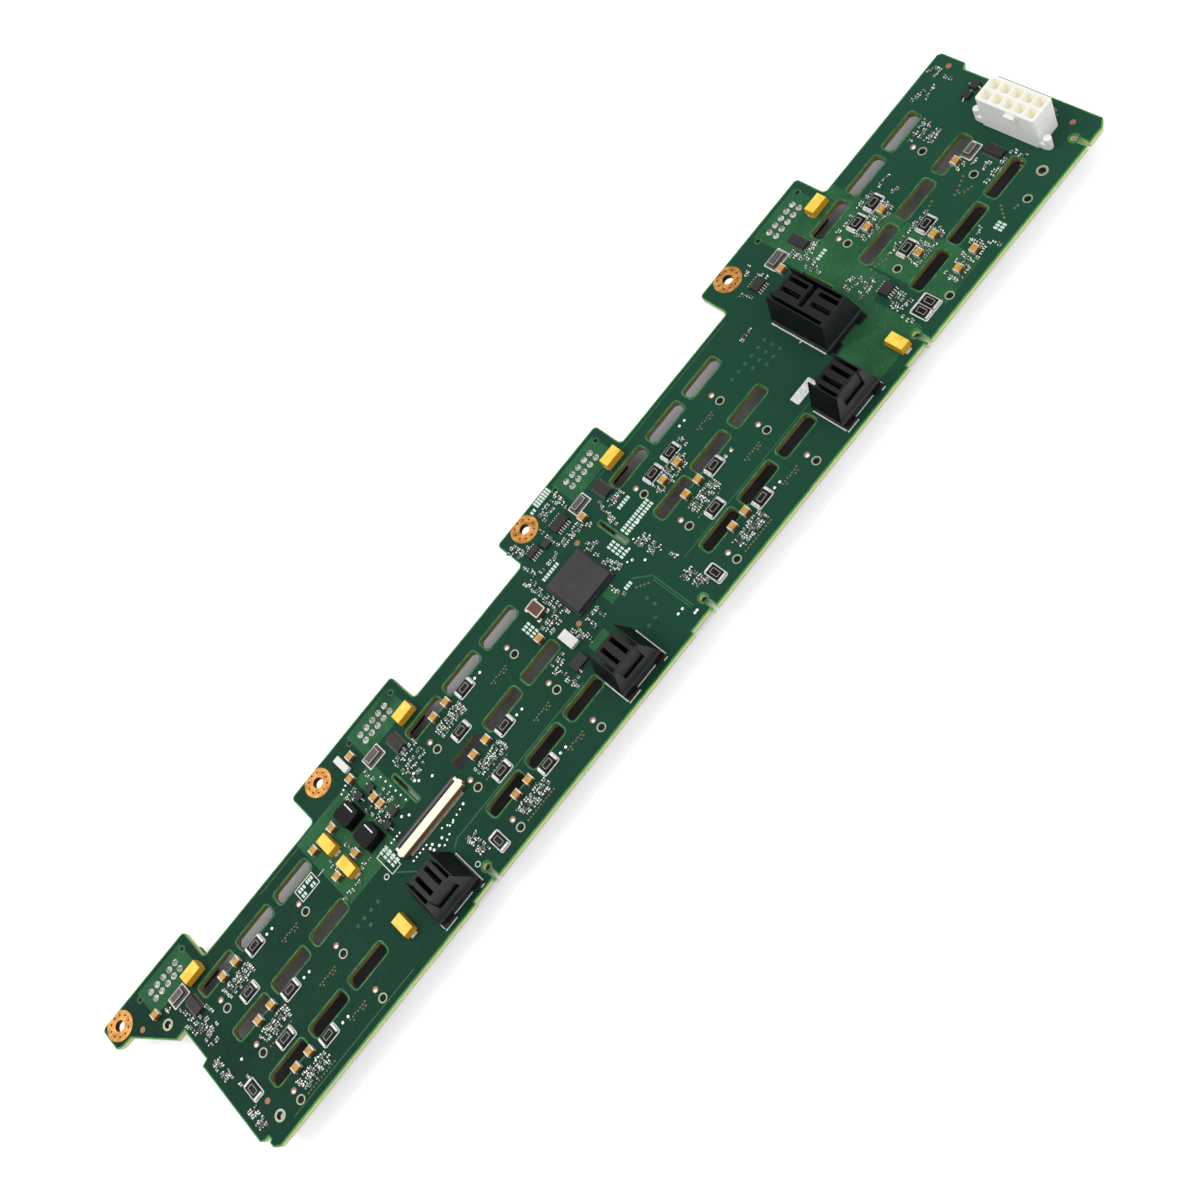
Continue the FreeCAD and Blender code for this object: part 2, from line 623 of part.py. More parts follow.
def make_power_header():
    """Ten cells in two rows, a latch ramp on the left face and a peg on an ear at each end."""
    body = doc.addObject("PartDesign::Body", "power_header")
    length, depth = d.power_length, d.power_depth
    pad(body, polygons(body, "power_shell", [clipped_rectangle(0, 0, depth, length, 0.6)]), d.power_height)
    cell = clipped_rectangle(-d.power_pitch / 2, -2 * d.power_pitch, d.power_cell, d.power_cell, 0.5)
    cells = pocket(body, polygons(body, "power_cell", [cell], d.power_height), d.power_height - d.power_floor)
    repeat(body, cells, ("H_Axis", 2, d.power_pitch), ("V_Axis", POWER_CELLS, d.power_pitch))
    ramp = [(-depth / 2 + 0.2, size(7.6)), (-depth / 2 + 0.2, size(11.6)), (-depth / 2 - 1.3, size(11.6)),
            (-depth / 2 - 1.3, size(10.6))]
    pad(body, polygons(body, "power_latch", [ramp], 0.6, "XZ_Plane"), 3.6)
    ear_y = length / 2
    ears = [rectangle(-3.1, side * (ear_y + 1.0), 2.8, 2.4) for side in (-1, 1)]
    pad(body, polygons(body, "power_ears", ears), 2.2)
    pegs = [many_sided(size(-3.1), side * (ear_y + 2.4), size(2.6)) for side in (-1, 1)]
    pad(body, polygons(body, "power_pegs", pegs), 4.5)
    side = d.power_pin + 2 * d.pin_clearance
    hole = rectangle(-d.power_pitch / 2, -2 * d.power_pitch, side, side)
    holes = pocket(body, polygons(body, "power_floor_hole", [hole]), along_normal=True)
    repeat(body, holes, ("H_Axis", 2, d.power_pitch), ("V_Axis", POWER_CELLS, d.power_pitch))
    put(body, power_x, power_y, board_top)
    node(body, "power_header")


def make_power_header_pins():
    """Square pins from inside the cells, through the floor and the board."""
    low = d.stand_off - d.tail_length
    pins = []
    for step in range(POWER_CELLS):
        for side in (-1, 1):
            x = power_x + side * d.power_pitch / 2
            y = power_y + (step - 2) * d.power_pitch
            height = board_top + 9.6 - low
            pins.append(box(f"power_pin_{step}_{side + 1}", x, y, low, d.power_pin, d.power_pin, height))
    group("power_header_pins", pins)


# Flat-cable connector with its flip lock

def make_flat_cable_connector():
    """A cream housing open towards the tabs, the black bar that locks the cable, and its contacts."""
    housing = doc.addObject("PartDesign::Body", "flat_cable_housing")
    height = d.flat_height
    wall = flat_hinge_y - d.hinge_radius - d.lock_bar_gap
    jaw = 0.5
    side_view = [(size(0), size(0)), (d.flat_depth - 0.3, size(0)), (d.flat_depth - 0.3, size(jaw)),
                 (wall, size(jaw)), (wall, height), (size(0.2), height), (size(0), height - 0.2)]
    pad(housing, polygons(housing, "flat_side", [side_view], 0, "YZ_Plane"), d.flat_length, True)
    lobes = [clipped_rectangle(side * (d.flat_length / 2 - 0.4), wall / 2 + 0.2, 2 * d.flat_lobe + 0.8,
                               wall - 0.6, 0.6) for side in (-1, 1)]
    pad(housing, polygons(housing, "flat_lobes", lobes), height)
    lug = 0.9
    lug_x = (d.flat_length - lug) / 2
    lug_view = [(wall - 0.2, size(0.3)), (flat_hinge_y + 0.5, size(0.3)), (flat_hinge_y + 0.5, height - 0.05),
                (wall - 0.2, height - 0.05)]
    for side, name in ((-1, "left"), (1, "right")):
        profile = polygons(housing, f"flat_lug_{name}", [lug_view], side * lug_x - lug / 2, "YZ_Plane")
        pad(housing, profile, lug)
    hole = sketch(housing, "flat_hinge_hole", 0, "YZ_Plane")
    bore = d.hinge_radius + d.hinge_clearance
    hinge = Vector(flat_hinge_y.number, d.hinge_lift.number, 0)
    ring = hole.addGeometry(Part.Circle(hinge, Vector(0, 0, 1), bore.number))
    number = hole.addConstraint(Sketcher.Constraint("Radius", ring, bore.number))
    hole.setExpression(f"Constraints[{number}]", bore.formula)
    fix_point(hole, ring, 3, flat_hinge_y, d.hinge_lift)
    pocket(housing, hole, d.flat_length + 1.0, symmetric=True)
    put(housing, flat_x, flat_y, board_top)
    node(housing, "flat_cable_housing")

    bar = doc.addObject("PartDesign::Body", "flat_cable_lock_bar")
    inner = d.flat_length - 2 * lug - 0.4
    leaf = [(flat_hinge_y - 0.15, size(0.85)), (d.flat_depth - 0.7, size(0.85)), (d.flat_depth - 0.7, height - 0.1),
            (flat_hinge_y - 0.15, height - 0.1)]
    pad(bar, polygons(bar, "lock_leaf", [leaf], 0, "YZ_Plane"), inner, True)
    lip = [(flat_hinge_y + 0.8, size(0.85)), (d.flat_depth, size(0.85)), (d.flat_depth, height - 0.4),
           (d.flat_depth - 0.3, height - 0.1), (flat_hinge_y + 0.8, height - 0.1)]
    pad(bar, polygons(bar, "lock_lip", [lip], 0, "YZ_Plane"), d.flat_length - 0.7, True)
    trunnion = sketch(bar, "lock_trunnion", 0, "YZ_Plane")
    ring = trunnion.addGeometry(Part.Circle(hinge, Vector(0, 0, 1), d.hinge_radius.number))
    number = trunnion.addConstraint(Sketcher.Constraint("Radius", ring, d.hinge_radius.number))
    trunnion.setExpression(f"Constraints[{number}]", d.hinge_radius.formula)
    fix_point(trunnion, ring, 3, flat_hinge_y, d.hinge_lift)
    pad(bar, trunnion, d.flat_length - 0.4, True)
    put(bar, flat_x, flat_y, board_top)
    node(bar, "flat_cable_lock_bar")

    tails = []
    for step in range(FLAT_CONTACTS):
        x = flat_x + (step - (FLAT_CONTACTS - 1) / 2) * d.flat_pitch
        tails.append(box(f"flat_tail_{step}", x, flat_y - 0.5, board_top, 0.22, 1.0, 0.25))
    group("flat_cable_contacts", tails)


# Chips, inductors, oscillators and capacitors

def make_controller_chip():
    """A square chip: a thin carrier with a moulded cap that leans in at its sides."""
    x, y = tab(2) - 29.3, 4.5
    carrier = box("chip_carrier", x, y, board_top, d.chip_side, d.chip_side, 0.7)
    cap = tapered_box("chip_cap", x, y, board_top + 0.7, d.chip_side - 1.0, d.chip_side - 1.0,
                      d.chip_height - 0.7, 0.25)
    whole = doc.addObject("Part::Fuse", "controller_chip")
    whole.Base = carrier
    whole.Tool = cap
    node(whole, "controller_chip")


def make_power_inductors():
    """Two square moulded inductors with clipped corners, wider foot than top."""
    for number, y in enumerate((15.9, 4.9)):
        label = f"power_inductor_{number + 1}"
        body = doc.addObject("PartDesign::Body", label)
        side = d.inductor_side
        pad(body, polygons(body, label + "_foot", [rectangle(0, 0, side, side)]), 0.6)
        block = clipped_rectangle(0, 0, side - 0.3, side - 0.3, 0.9)
        pad(body, polygons(body, label + "_block", [block], 0.6), d.inductor_height - 0.6)
        put(body, tab(1) - 26.5, y, board_top)
        node(body, label)


def make_tantalum(number, x, y, upright):
    """A moulded block over two terminal strips that wrap under its ends; upright runs it along Y."""
    label = f"tantalum_capacitor_{number + 1}"
    length, width = (d.tantalum_width, d.tantalum_length) if upright else (d.tantalum_length, d.tantalum_width)
    lift = board_top + d.lead_thickness
    block = tapered_box(label + "_block", x, y, lift, length, width, d.tantalum_height - d.lead_thickness, 0.25)
    reach = d.tantalum_length / 2 - 0.55
    pieces = [block]
    for side in (-1, 1):
        name = f"{label}_strip_{side + 1}"
        if upright:
            pieces.append(box(name, x, y + side * reach, board_top, 2.4, 1.3, d.lead_thickness))
        else:
            pieces.append(box(name, x + side * reach, y, board_top, 1.3, 2.4, d.lead_thickness))
    group(label, pieces)


def make_oscillator(number, x, y, length, width):
    """A low ceramic base with a metal lid that leans in."""
    label = f"oscillator_{number + 1}"
    base = box(label + "_base", x, y, board_top, length, width, 0.6)
    lid = tapered_box(label + "_lid", x, y, board_top + 0.6, size(length) - 0.8, size(width) - 0.8, 0.9, 0.15)
    whole = doc.addObject("Part::Fuse", label)
    whole.Base = base
    whole.Tool = lid
    node(whole, label)


def make_like_parts(label, places, length, width, height, draft=None):
    """Like parts in one node; a place is (x, y) or (x, y, length, width)."""
    pieces = []
    for index, place in enumerate(places):
        x, y = place[0], place[1]
        long, wide = (place[2], place[3]) if len(place) == 4 else (length, width)
        name = f"{label}_{index + 1}"
        if draft is None:
            pieces.append(box(name, x, y, board_top, long, wide, height))
        else:
            pieces.append(tapered_box(name, x, y, board_top, long, wide, height, draft))
    group(label, pieces)


# Places that several pieces share

cable_front = bottom_edge + d.cable_margin
double_x = keyhole(2) - 10.6
double_front = size(-14.8)
power_x = right_end - 12.3
power_y = size(-15.55)
flat_x = keyhole(0) - 1.15
flat_y = size(-10.15)
flat_hinge_y = d.flat_depth - d.lock_bar_width


def cable_x(number):
    """The middle of a single cable connector."""
    return keyhole(number) - (12.75, 29.3, 27.7)[number]


make_circuit_board()
for row in range(ROWS):
    for place in range(COLUMNS):
        make_drive_connector(row, place)
for number in range(TABS):
    make_tab_header(number)
make_tab_header_pins()
for number in range(3):
    make_cable_connector(number)
make_double_cable_connector()
make_cable_contacts()
make_power_header()
make_power_header_pins()
make_flat_cable_connector()
make_controller_chip()
make_power_inductors()

tantalums = [(tab(number) + 8.8, top_edge - 14.4, False) for number in range(TABS)]
tantalums += [(column(0) + 35.2, size(15.2), True), (column(0) + 35.0, size(4.0), True),
              (column(0) + 35.2, size(-25.3), True), (column(3) - 44.3, size(-31.7), True)]
for number, (x, y, upright) in enumerate(tantalums):
    make_tantalum(number, x, y, upright)

oscillators = [(tab(0) + 0.2, 24.1, 6.0, 3.6), (tab(1) - 8.1, 24.2, 6.2, 4.0), (tab(2) - 9.5, 23.9, 6.2, 3.4),
               (tab(3) - 13.0, 24.4, 6.4, 4.0), (right_end - 26.7, -7.5, 5.4, 3.2)]
for number, (x, y, length, width) in enumerate(oscillators):
    make_oscillator(number, x, y, length, width)

make_like_parts("bay_driver_chips", [(tab(0) + 2.6, 16.9), (tab(1) + 0.1, 20.7), (tab(2) - 1.2, 20.7),
                                     (tab(3) - 4.4, 21.8), (right_end - 24.0, -14.7)], 3.3, 7.0, 1.2, 0.12)
make_like_parts("small_outline_chips", [(tab(2) - 30.8, 25.8, 5.0, 2.8), (tab(2) - 18.4, 25.1, 6.5, 4.0),
                                        (tab(3) - 23.5, 23.6, 4.9, 3.9), (tab(3) - 4.8, -16.0, 4.9, 3.9)],
                5.0, 3.9, 1.4, 0.15)
make_like_parts("leadless_chips", [(column(1) + 26.3, -13.9, 5.4, 4.0), (tab(2) - 26.2, 24.1, 3.0, 2.6)],
                5.4, 4.0, 0.9)
make_like_parts("power_transistors", [(tab(1) - 20.2, 18.6), (tab(1) - 15.7, 17.2), (tab(1) - 20.2, 3.0),
                                      (tab(1) - 15.9, 4.6), (right_end - 10.3, 6.8), (right_end - 6.2, 6.8)],
                2.9, 2.9, 1.1, 0.12)
make_like_parts("white_chip_parts", [(tab(1) - 17.0, top_edge - 7.9, 2.4, 6.6), (tab(2) - 45.6, -6.1, 3.6, 6.6)],
                3.6, 6.6, 1.4)
make_like_parts("four_pad_filter", [(tab(2) - 44.7, 10.6, 4.6, 6.0)], 4.6, 6.0, 1.7)

RESISTOR_PLACES = [
    [(-3.6, 13.5), (-14.3, 4.0), (-4.0, -7.3), (-14.6, -17.0), (-4.1, -28.2)],
    [(-3.0, 13.3), (-13.8, 4.0), (-3.4, -7.4), (-14.3, -17.1), (-3.5, -28.3)],
    [(-16.0, 9.0), (-7.1, 9.0), (-3.1, -7.1), (-13.9, -17.1), (-3.2, -28.1)],
    [(-15.6, 8.9), (-7.2, 8.8), (-15.7, -12.0), (-6.0, -11.9)],
]
CERAMIC_PLACES = [
    [(-17.3, 15.0), (-11.2, 15.0), (-17.4, -5.8), (-11.3, -5.8), (-17.6, -26.9), (-11.4, -26.9)],
    [(-16.3, 15.0), (-10.2, 15.0), (-16.5, -5.8), (-10.4, -5.8), (-16.6, -26.8), (-10.8, -26.8)],
    [(-16.0, 4.0), (-8.8, 4.1), (-15.7, -6.2), (-9.6, -6.2), (-15.7, -26.8), (-9.7, -26.8)],
    [(-15.8, 4.2), (-8.3, 4.2), (-15.7, -16.8), (-8.2, -16.8), (-14.5, -31.6), (-6.7, -31.6)],
]
across, along = d.resistor_width, d.resistor_length
resistors = [(column(number) + x, y) for number, places in enumerate(RESISTOR_PLACES) for x, y in places]
resistors += [(column(0) - 32.3, -19.7, across, along), (column(1) - 30.4, -32.0, across, along),
              (column(2) - 30.2, -32.0, across, along), (column(3) - 31.6, -30.7, across, along),
              (column(3) - 27.7, -30.7, across, along)]
make_like_parts("wide_resistors", resistors, along, across, d.resistor_height)

ceramics = [(column(number) + x, y) for number, places in enumerate(CERAMIC_PLACES) for x, y in places]
ceramics += [(tab(0) - 9.0, 26.1), (tab(1) - 18.3, 25.2), (tab(1) - 13.2, top_edge - 8.4), (tab(1) - 17.0, 13.4),
             (tab(1) - 17.0, 9.8), (column(0) + 30.5, 18.6), (column(0) + 39.6, 18.6), (column(0) + 30.4, 5.2),
             (column(0) + 39.6, 5.4), (tab(2) - 51.2, 2.5), (tab(2) - 12.4, 19.2), (tab(3) - 15.3, 20.2),
             (right_end - 32.5, -6.0)]
make_like_parts("ceramic_capacitors", ceramics, d.ceramic_length, d.ceramic_width, d.ceramic_height)


# Check and write every piece

doc.recompute()
for item in doc.Objects:
    if "Invalid" in item.State or "Error" in item.State:
        raise RuntimeError(f"{item.Name} failed: {item.State}")
os.makedirs("parts", exist_ok=True)
for piece in nodes:
    if piece.Shape.isNull() or not piece.Shape.isValid():
        raise RuntimeError(f"{piece.Label} has no valid shape")
    piece.Shape.exportStep(f"parts/{piece.Label}.step")
print(len(nodes), "pieces written")
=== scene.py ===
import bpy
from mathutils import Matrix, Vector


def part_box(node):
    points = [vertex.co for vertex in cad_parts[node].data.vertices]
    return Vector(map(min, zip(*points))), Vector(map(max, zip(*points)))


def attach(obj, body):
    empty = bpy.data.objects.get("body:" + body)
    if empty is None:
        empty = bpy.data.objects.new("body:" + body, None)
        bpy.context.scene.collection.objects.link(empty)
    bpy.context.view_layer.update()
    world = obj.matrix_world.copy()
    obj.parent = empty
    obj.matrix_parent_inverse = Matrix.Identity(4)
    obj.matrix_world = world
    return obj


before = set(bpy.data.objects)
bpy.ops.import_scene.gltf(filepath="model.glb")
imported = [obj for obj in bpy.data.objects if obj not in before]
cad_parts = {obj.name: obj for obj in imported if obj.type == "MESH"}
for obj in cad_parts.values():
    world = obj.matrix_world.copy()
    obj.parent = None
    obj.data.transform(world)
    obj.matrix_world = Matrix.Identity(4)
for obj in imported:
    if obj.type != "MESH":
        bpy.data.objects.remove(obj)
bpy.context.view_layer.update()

import bpy
import numpy as np


# The circuit board: a glass-epoxy panel under green solder mask, routed to its shape with four tabs. Copper pours
# show through the mask as lighter fields, and the routed edges show the bare laminate.

class Shade:
    """One output of a node; sums, products and comparisons on it add Math nodes."""

    def __init__(self, nodes, socket):
        self.nodes, self.socket = nodes, socket

    def math(self, operation, *values):
        return self.nodes.node("ShaderNodeMath", {"operation": operation}, *values)

    def __add__(self, other):
        return self.math("ADD", self, other)

    def __sub__(self, other):
        return self.math("SUBTRACT", self, other)

    def __rsub__(self, other):
        return self.math("SUBTRACT", other, self)

    def __mul__(self, other):
        return self.math("MULTIPLY", self, other)

    def __gt__(self, other):
        return self.math("GREATER_THAN", self, other)

    def __lt__(self, other):
        return self.math("LESS_THAN", self, other)

    def __or__(self, other):
        """The higher of the two."""
        return self.math("MAXIMUM", self, other)

    def __abs__(self):
        return self.math("ABSOLUTE", self)

    __radd__, __rmul__, __ror__ = __add__, __mul__, __or__

    def between(self, low, high):
        """0 at low, 1 at high, a straight ramp between them and level beyond."""
        return self.nodes.node("ShaderNodeMapRange", {}, self, low, high, 0.0, 1.0)


class Nodes:
    """The node tree of a material or of the sky."""

    def __init__(self, owner):
        owner.use_nodes = True
        self.tree = owner.node_tree

    def node(self, kind, settings, *values, out=0, **named):
        """Add a node: its settings first, then the values or links of its sockets."""
        item = self.tree.nodes.new(kind)
        for key, value in settings.items():
            setattr(item, key, value)
        for key, value in [*enumerate(values), *named.items()]:
            if isinstance(value, Shade):
                self.tree.links.new(value.socket, item.inputs[key])
            elif value is not None:
                item.inputs[key].default_value = value
        return Shade(self, item.outputs[out])

    def feed(self, shader, socket, shade):
        """Link a shade to a socket of the shader that the tree came with."""
        self.tree.links.new(shade.socket, self.tree.nodes[shader].inputs[socket])


class Finish(Nodes):
    """A procedural material, built from nodes that read Object coordinates."""

    def __init__(self, name, roughness=0.5, specular=0.5, metallic=0.0):
        self.material = bpy.data.materials.new(name)
        super().__init__(self.material)
        self.sockets = self.tree.nodes["Principled BSDF"].inputs
        self.sockets["Roughness"].default_value = roughness
        self.sockets["Specular IOR Level"].default_value = specular
        self.sockets["Metallic"].default_value = metallic

    def place(self, axis):
        """One Object coordinate, in millimetres."""
        spot = self.node("ShaderNodeTexCoord", {}, out=3)
        return self.node("ShaderNodeSeparateXYZ", {}, spot, out=axis) * 1000.0

    def facing(self, axis):
        """One part of the surface normal."""
        normal = self.node("ShaderNodeNewGeometry", {}, out=1)
        return self.node("ShaderNodeSeparateXYZ", {}, normal, out=axis)

    def noise(self, scale, detail=2.0):
        spot = self.node("ShaderNodeTexCoord", {}, out=3)
        return self.node("ShaderNodeTexNoise", {}, Vector=spot, Scale=scale, Detail=detail)

    def blend(self, factor, first, second):
        """Go from the first colour to the second as factor goes from 0 to 1. Three numbers are a screen colour."""
        mix = {"data_type": "RGBA"}
        first, second = (paint(*end) if isinstance(end, tuple) and len(end) == 3 else end for end in (first, second))
        return self.node("ShaderNodeMix", mix, factor, None, None, None, None, None, first, second, out=2)

    def finish(self, colour, bump=None, strength=0.1, distance=0.00004, glow=None):
        """Link the colour and, where they are given, a raised grain and a glow; distance is the grain's height."""
        self.feed("Principled BSDF", "Base Color", colour)
        if bump is not None:
            raised = self.node("ShaderNodeBump", {}, Strength=strength, Distance=distance, Height=bump)
            self.feed("Principled BSDF", "Normal", raised)
        if glow is not None:
            self.feed("Principled BSDF", "Emission Color", glow)
            self.sockets["Emission Strength"].default_value = 1.0
        return self

    def dress(self, *nodes):
        """Give this finish to CAD nodes."""
        for node in nodes:
            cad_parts[node].material_slots[0].material = self.material


def paint(red, green, blue):
    """A screen colour of 0 to 255 as the linear colour that renders as it: ((c + 0.055) / 1.055) to the 2.4."""
    scaled = np.array([red, green, blue]) / 255.0
    linear = np.where(scaled > 0.04045, ((scaled + 0.055) / 1.055) ** 2.4, scaled / 12.92)
    return (*linear.tolist(), 1.0)


def mottled(name, dark, light, scale, detail=2.0, ramp=None, grain=0.0, depth=0.00004, **gloss):
    """A finish that wanders between two shades with a noise. The same noise raises a grain, where there is one."""
    made = Finish(name, **gloss)
    cloud = made.noise(scale, detail)
    shade = made.blend(cloud.between(*ramp) if ramp else cloud, dark, light)
    return made.finish(shade, cloud if grain else None, grain, depth)


def add_piece(name, points, faces, finish, body="board"):
    """Turn whole arrays of points in millimetres and lists of faces into a piece that rides on a body."""
    mesh = bpy.data.meshes.new(name)
    mesh.from_pydata((points.reshape(-1, 3) * 0.001).tolist(), [], faces)
    mesh.materials.append(finish.material)
    piece = bpy.data.objects.new(name, mesh)
    bpy.context.scene.collection.objects.link(piece)
    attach(piece, body)
    return piece


BOARD_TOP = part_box("circuit_board")[1][2] * 1000.0
BOARD_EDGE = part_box("circuit_board")[1][1] * 1000.0
EDGE_GAP = 0.05


def raise_outlines(name, places, size, profile, finish, steps=2, base=BOARD_TOP):
    """Like bodies with a rounded outline. For point t of the outline and step s of the profile, the point is the
    rounded rectangle of size (length, width, corner), drawn in by the profile's inset(s), at the profile's
    height(s). Each place is x, y and, if it has one, a turn in degrees; length and width may be one number for
    each place. A profile that ends as low as it began is a ring's, and is closed. Nothing reaches past the
    board's edge at the tabs."""
    length, width, corner = size
    rows = np.array([(*place[:2], place[2] if len(place) > 2 else 0.0) for place in places], float)
    count = len(rows)
    inset, height = np.array(profile, float).T
    half = np.stack([np.broadcast_to(length, count), np.broadcast_to(width, count)], axis=1) / 2.0
    reach = half[:, None, :] - inset[None, :, None]
    bend = np.minimum(np.clip(corner - inset, 0.0, None)[None, :, None], reach)
    angle = (np.arange(4)[:, None] + np.linspace(0, 1, steps + 1)[None, :]).ravel() * np.pi / 2
    signs = np.array([(1, 1), (-1, 1), (-1, -1), (1, -1)]).repeat(steps + 1, axis=0)
    arc = np.stack([np.cos(angle), np.sin(angle)], axis=1)
    flat = signs * (reach - bend)[:, :, None, :] + arc * bend[:, :, None, :]
    turn = np.radians(rows[:, 2])[:, None, None]
    x = rows[:, 0][:, None, None] + flat[..., 0] * np.cos(turn) - flat[..., 1] * np.sin(turn)
    y = rows[:, 1][:, None, None] + flat[..., 0] * np.sin(turn) + flat[..., 1] * np.cos(turn)
    y = np.minimum(y, BOARD_EDGE - EDGE_GAP)
    z = np.broadcast_to(base + height[None, :, None], x.shape)
    points = np.stack([x, y, z], axis=-1)
    rings, around = len(profile), len(signs)
    ring = profile[-1][1] == profile[0][1]
    lower = np.arange(rings if ring else rings - 1)
    step = np.arange(around)
    low = lower[:, None] * around + step
    low_next = lower[:, None] * around + (step + 1) % around
    up = (lower[:, None] + 1) % rings * around
    quads = np.stack([low, low_next, up + (step + 1) % around, up + step], axis=-1).reshape(-1, 4)
    start = np.arange(count)[:, None, None] * rings * around
    faces = (start + quads).reshape(-1, 4).tolist()
    if not ring:
        ends = np.stack([step[::-1], (rings - 1) * around + step])
        faces += (start + ends).reshape(-1, around).tolist()
    return add_piece(name, points, faces, finish)


def disc(width):
    """The size of a round outline: its corners are as large as they can be."""
    return width, width, width / 2


def band(wall, inwards, top, lip):
    """The profile of a flat ring: up its outer wall, inwards to its top's inner edge, and down over the lip."""
    return [(0.0, 0.0), (0.0, wall), (inwards, top), (inwards + lip, 0.0)]


COLUMN_X = [-150.1 + 103.5 * number for number in range(4)]
TAB_X = [-183.05 + 105.9 * number for number in range(4)]
KEYHOLE_X = [-85.2, 18.3, 121.8, 199.6]
VENTS = [(x + side, y) for x in COLUMN_X for side in (-18.6, 0.0, 18.6) for y in (18.0, -2.7, -23.4)
         if (x, side, y) != (COLUMN_X[1], -18.6, -2.7)]

mask = Finish("green_solder_mask", roughness=0.5, specular=0.06)
across, along, level = (mask.place(axis) for axis in (0, 1, 2))


def field(x, y, length, width, soft=0.12):
    """1 inside a rectangle in millimetres and 0 outside, with a narrow ramp between."""
    side = abs(across - x).between(length / 2 + soft, length / 2 - soft)
    end = abs(along - y).between(width / 2 + soft, width / 2 - soft)
    return side * end


mottle = mask.noise(45.0, 3.0)
grain = mask.noise(1500.0, 1.0)
weave = mask.noise(420.0, 2.0)
green = mask.blend(mottle.between(0.35, 0.65), (10, 47, 34), (16, 56, 40))
green = mask.blend(grain.between(0.5, 0.72) * 0.3, green, (34, 80, 54))
pours = [(x + 0.5, 31.8, 21.0, 11.6) for x in TAB_X] + [
    (-110.9, 10.5, 23.6, 30.4), (-91.0, 13.5, 8.0, 21.0), (137.5, 10.5, 31.0, 31.0), (114.0, -18.0, 21.6, 32.4),
    (128.5, -9.0, 10.0, 10.5), (143.5, -20.5, 18.0, 30.0), (-11.1, -14.8, 7.4, 4.0), (2.4, -7.4, 4.4, 5.0)]
copper_under = field(*pours[0])
for area in pours[1:]:
    copper_under = copper_under | field(*area)
copper_under = copper_under * mask.noise(70.0, 2.0).between(0.25, 0.4)
patch = mask.noise(90.0, 3.0)
pour_green = mask.blend(patch.between(0.3, 0.7) * 0.6 + grain * 0.4, (28, 80, 47), (57, 112, 72))
# Painted light: the board's green is painted paler from left to right, as if more light fell on the right.
PAINTED_LIGHT_FROM, PAINTED_LIGHT_TO = -200.0, 200.0
green = mask.blend(across.between(PAINTED_LIGHT_FROM, PAINTED_LIGHT_TO) * 0.8, green, (34, 78, 59))
pour_green = mask.blend(mask.noise(1100.0, 2.0).between(0.6, 0.7) * 0.15, pour_green, (150, 176, 140))
green = mask.blend(copper_under * 0.85, green, pour_green)

UPPER_SKIN, LOWER_SKIN = BOARD_TOP - 0.35, BOARD_TOP - 1.8
OPENINGS_MIDDLE, OPENINGS_REACH = -2.5, (188.0, 25.0)
laminate = mask.blend(weave, (196, 196, 132), (226, 222, 170))
laminate = mask.blend(level > UPPER_SKIN, laminate, (96, 176, 72))
laminate = mask.blend(level < LOWER_SKIN, laminate, (60, 120, 66))
# Painted shade: the walls of the vents and slits in the middle of the board are painted a darker olive laminate.
shaded_opening_walls = (abs(across) < OPENINGS_REACH[0]) * (abs(along - OPENINGS_MIDDLE) < OPENINGS_REACH[1])
laminate = mask.blend(shaded_opening_walls, laminate, mask.blend(weave, (98, 92, 56), (136, 128, 82)))
MOUNTS = [(-203.9, 34.9)] + [(x - 26.7, 34.9) for x in TAB_X[1:]]
TOOLING = [(-191.25, 20.5), (-180.95, -32.5), (185.95, -32.4)]
PLATED_REACH = 2.2
for x, y in MOUNTS + TOOLING:
    plated = (abs(across - x) < PLATED_REACH) * (abs(along - y) < PLATED_REACH)
    laminate = mask.blend(plated, laminate, (66, 50, 34))
edge = abs(mask.facing(2)) < 0.5
mask.finish(mask.blend(edge, green, laminate), bump=grain + weave, strength=0.12, distance=0.00005)
mask.dress("circuit_board")

rim = mottled("mask_rim_round_openings", (36, 92, 50), (74, 124, 70), 500.0, 3.0, (0.35, 0.65), 0.08, 0.00003,
              roughness=0.45, specular=0.15)
fringe = mottled("mask_fringe_along_the_edge", (48, 112, 54), (86, 156, 76), 300.0, 3.0, (0.3, 0.7), roughness=0.45,
                 specular=0.2)


def node_points(node):
    """A CAD node's mesh, its points in millimetres, the places they share and the place of each point."""
    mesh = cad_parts[node].data
    points = np.zeros(len(mesh.vertices) * 3, np.float32)
    mesh.vertices.foreach_get("co", points)
    points = points.reshape(-1, 3).astype(float) * 1000.0
    spots, same = np.unique(np.round(points, 3), axis=0, return_inverse=True)
    return mesh, points, spots, same.ravel()


def islands(count, start, end):
    """One number for all the places that edges join: each takes the lowest that reaches it along an edge."""
    mark = np.arange(count)
    while (mark[start] != mark[end]).any():
        lowest = np.minimum(mark[start], mark[end])
        np.minimum.at(mark, start, lowest)
        np.minimum.at(mark, end, lowest)
    return mark


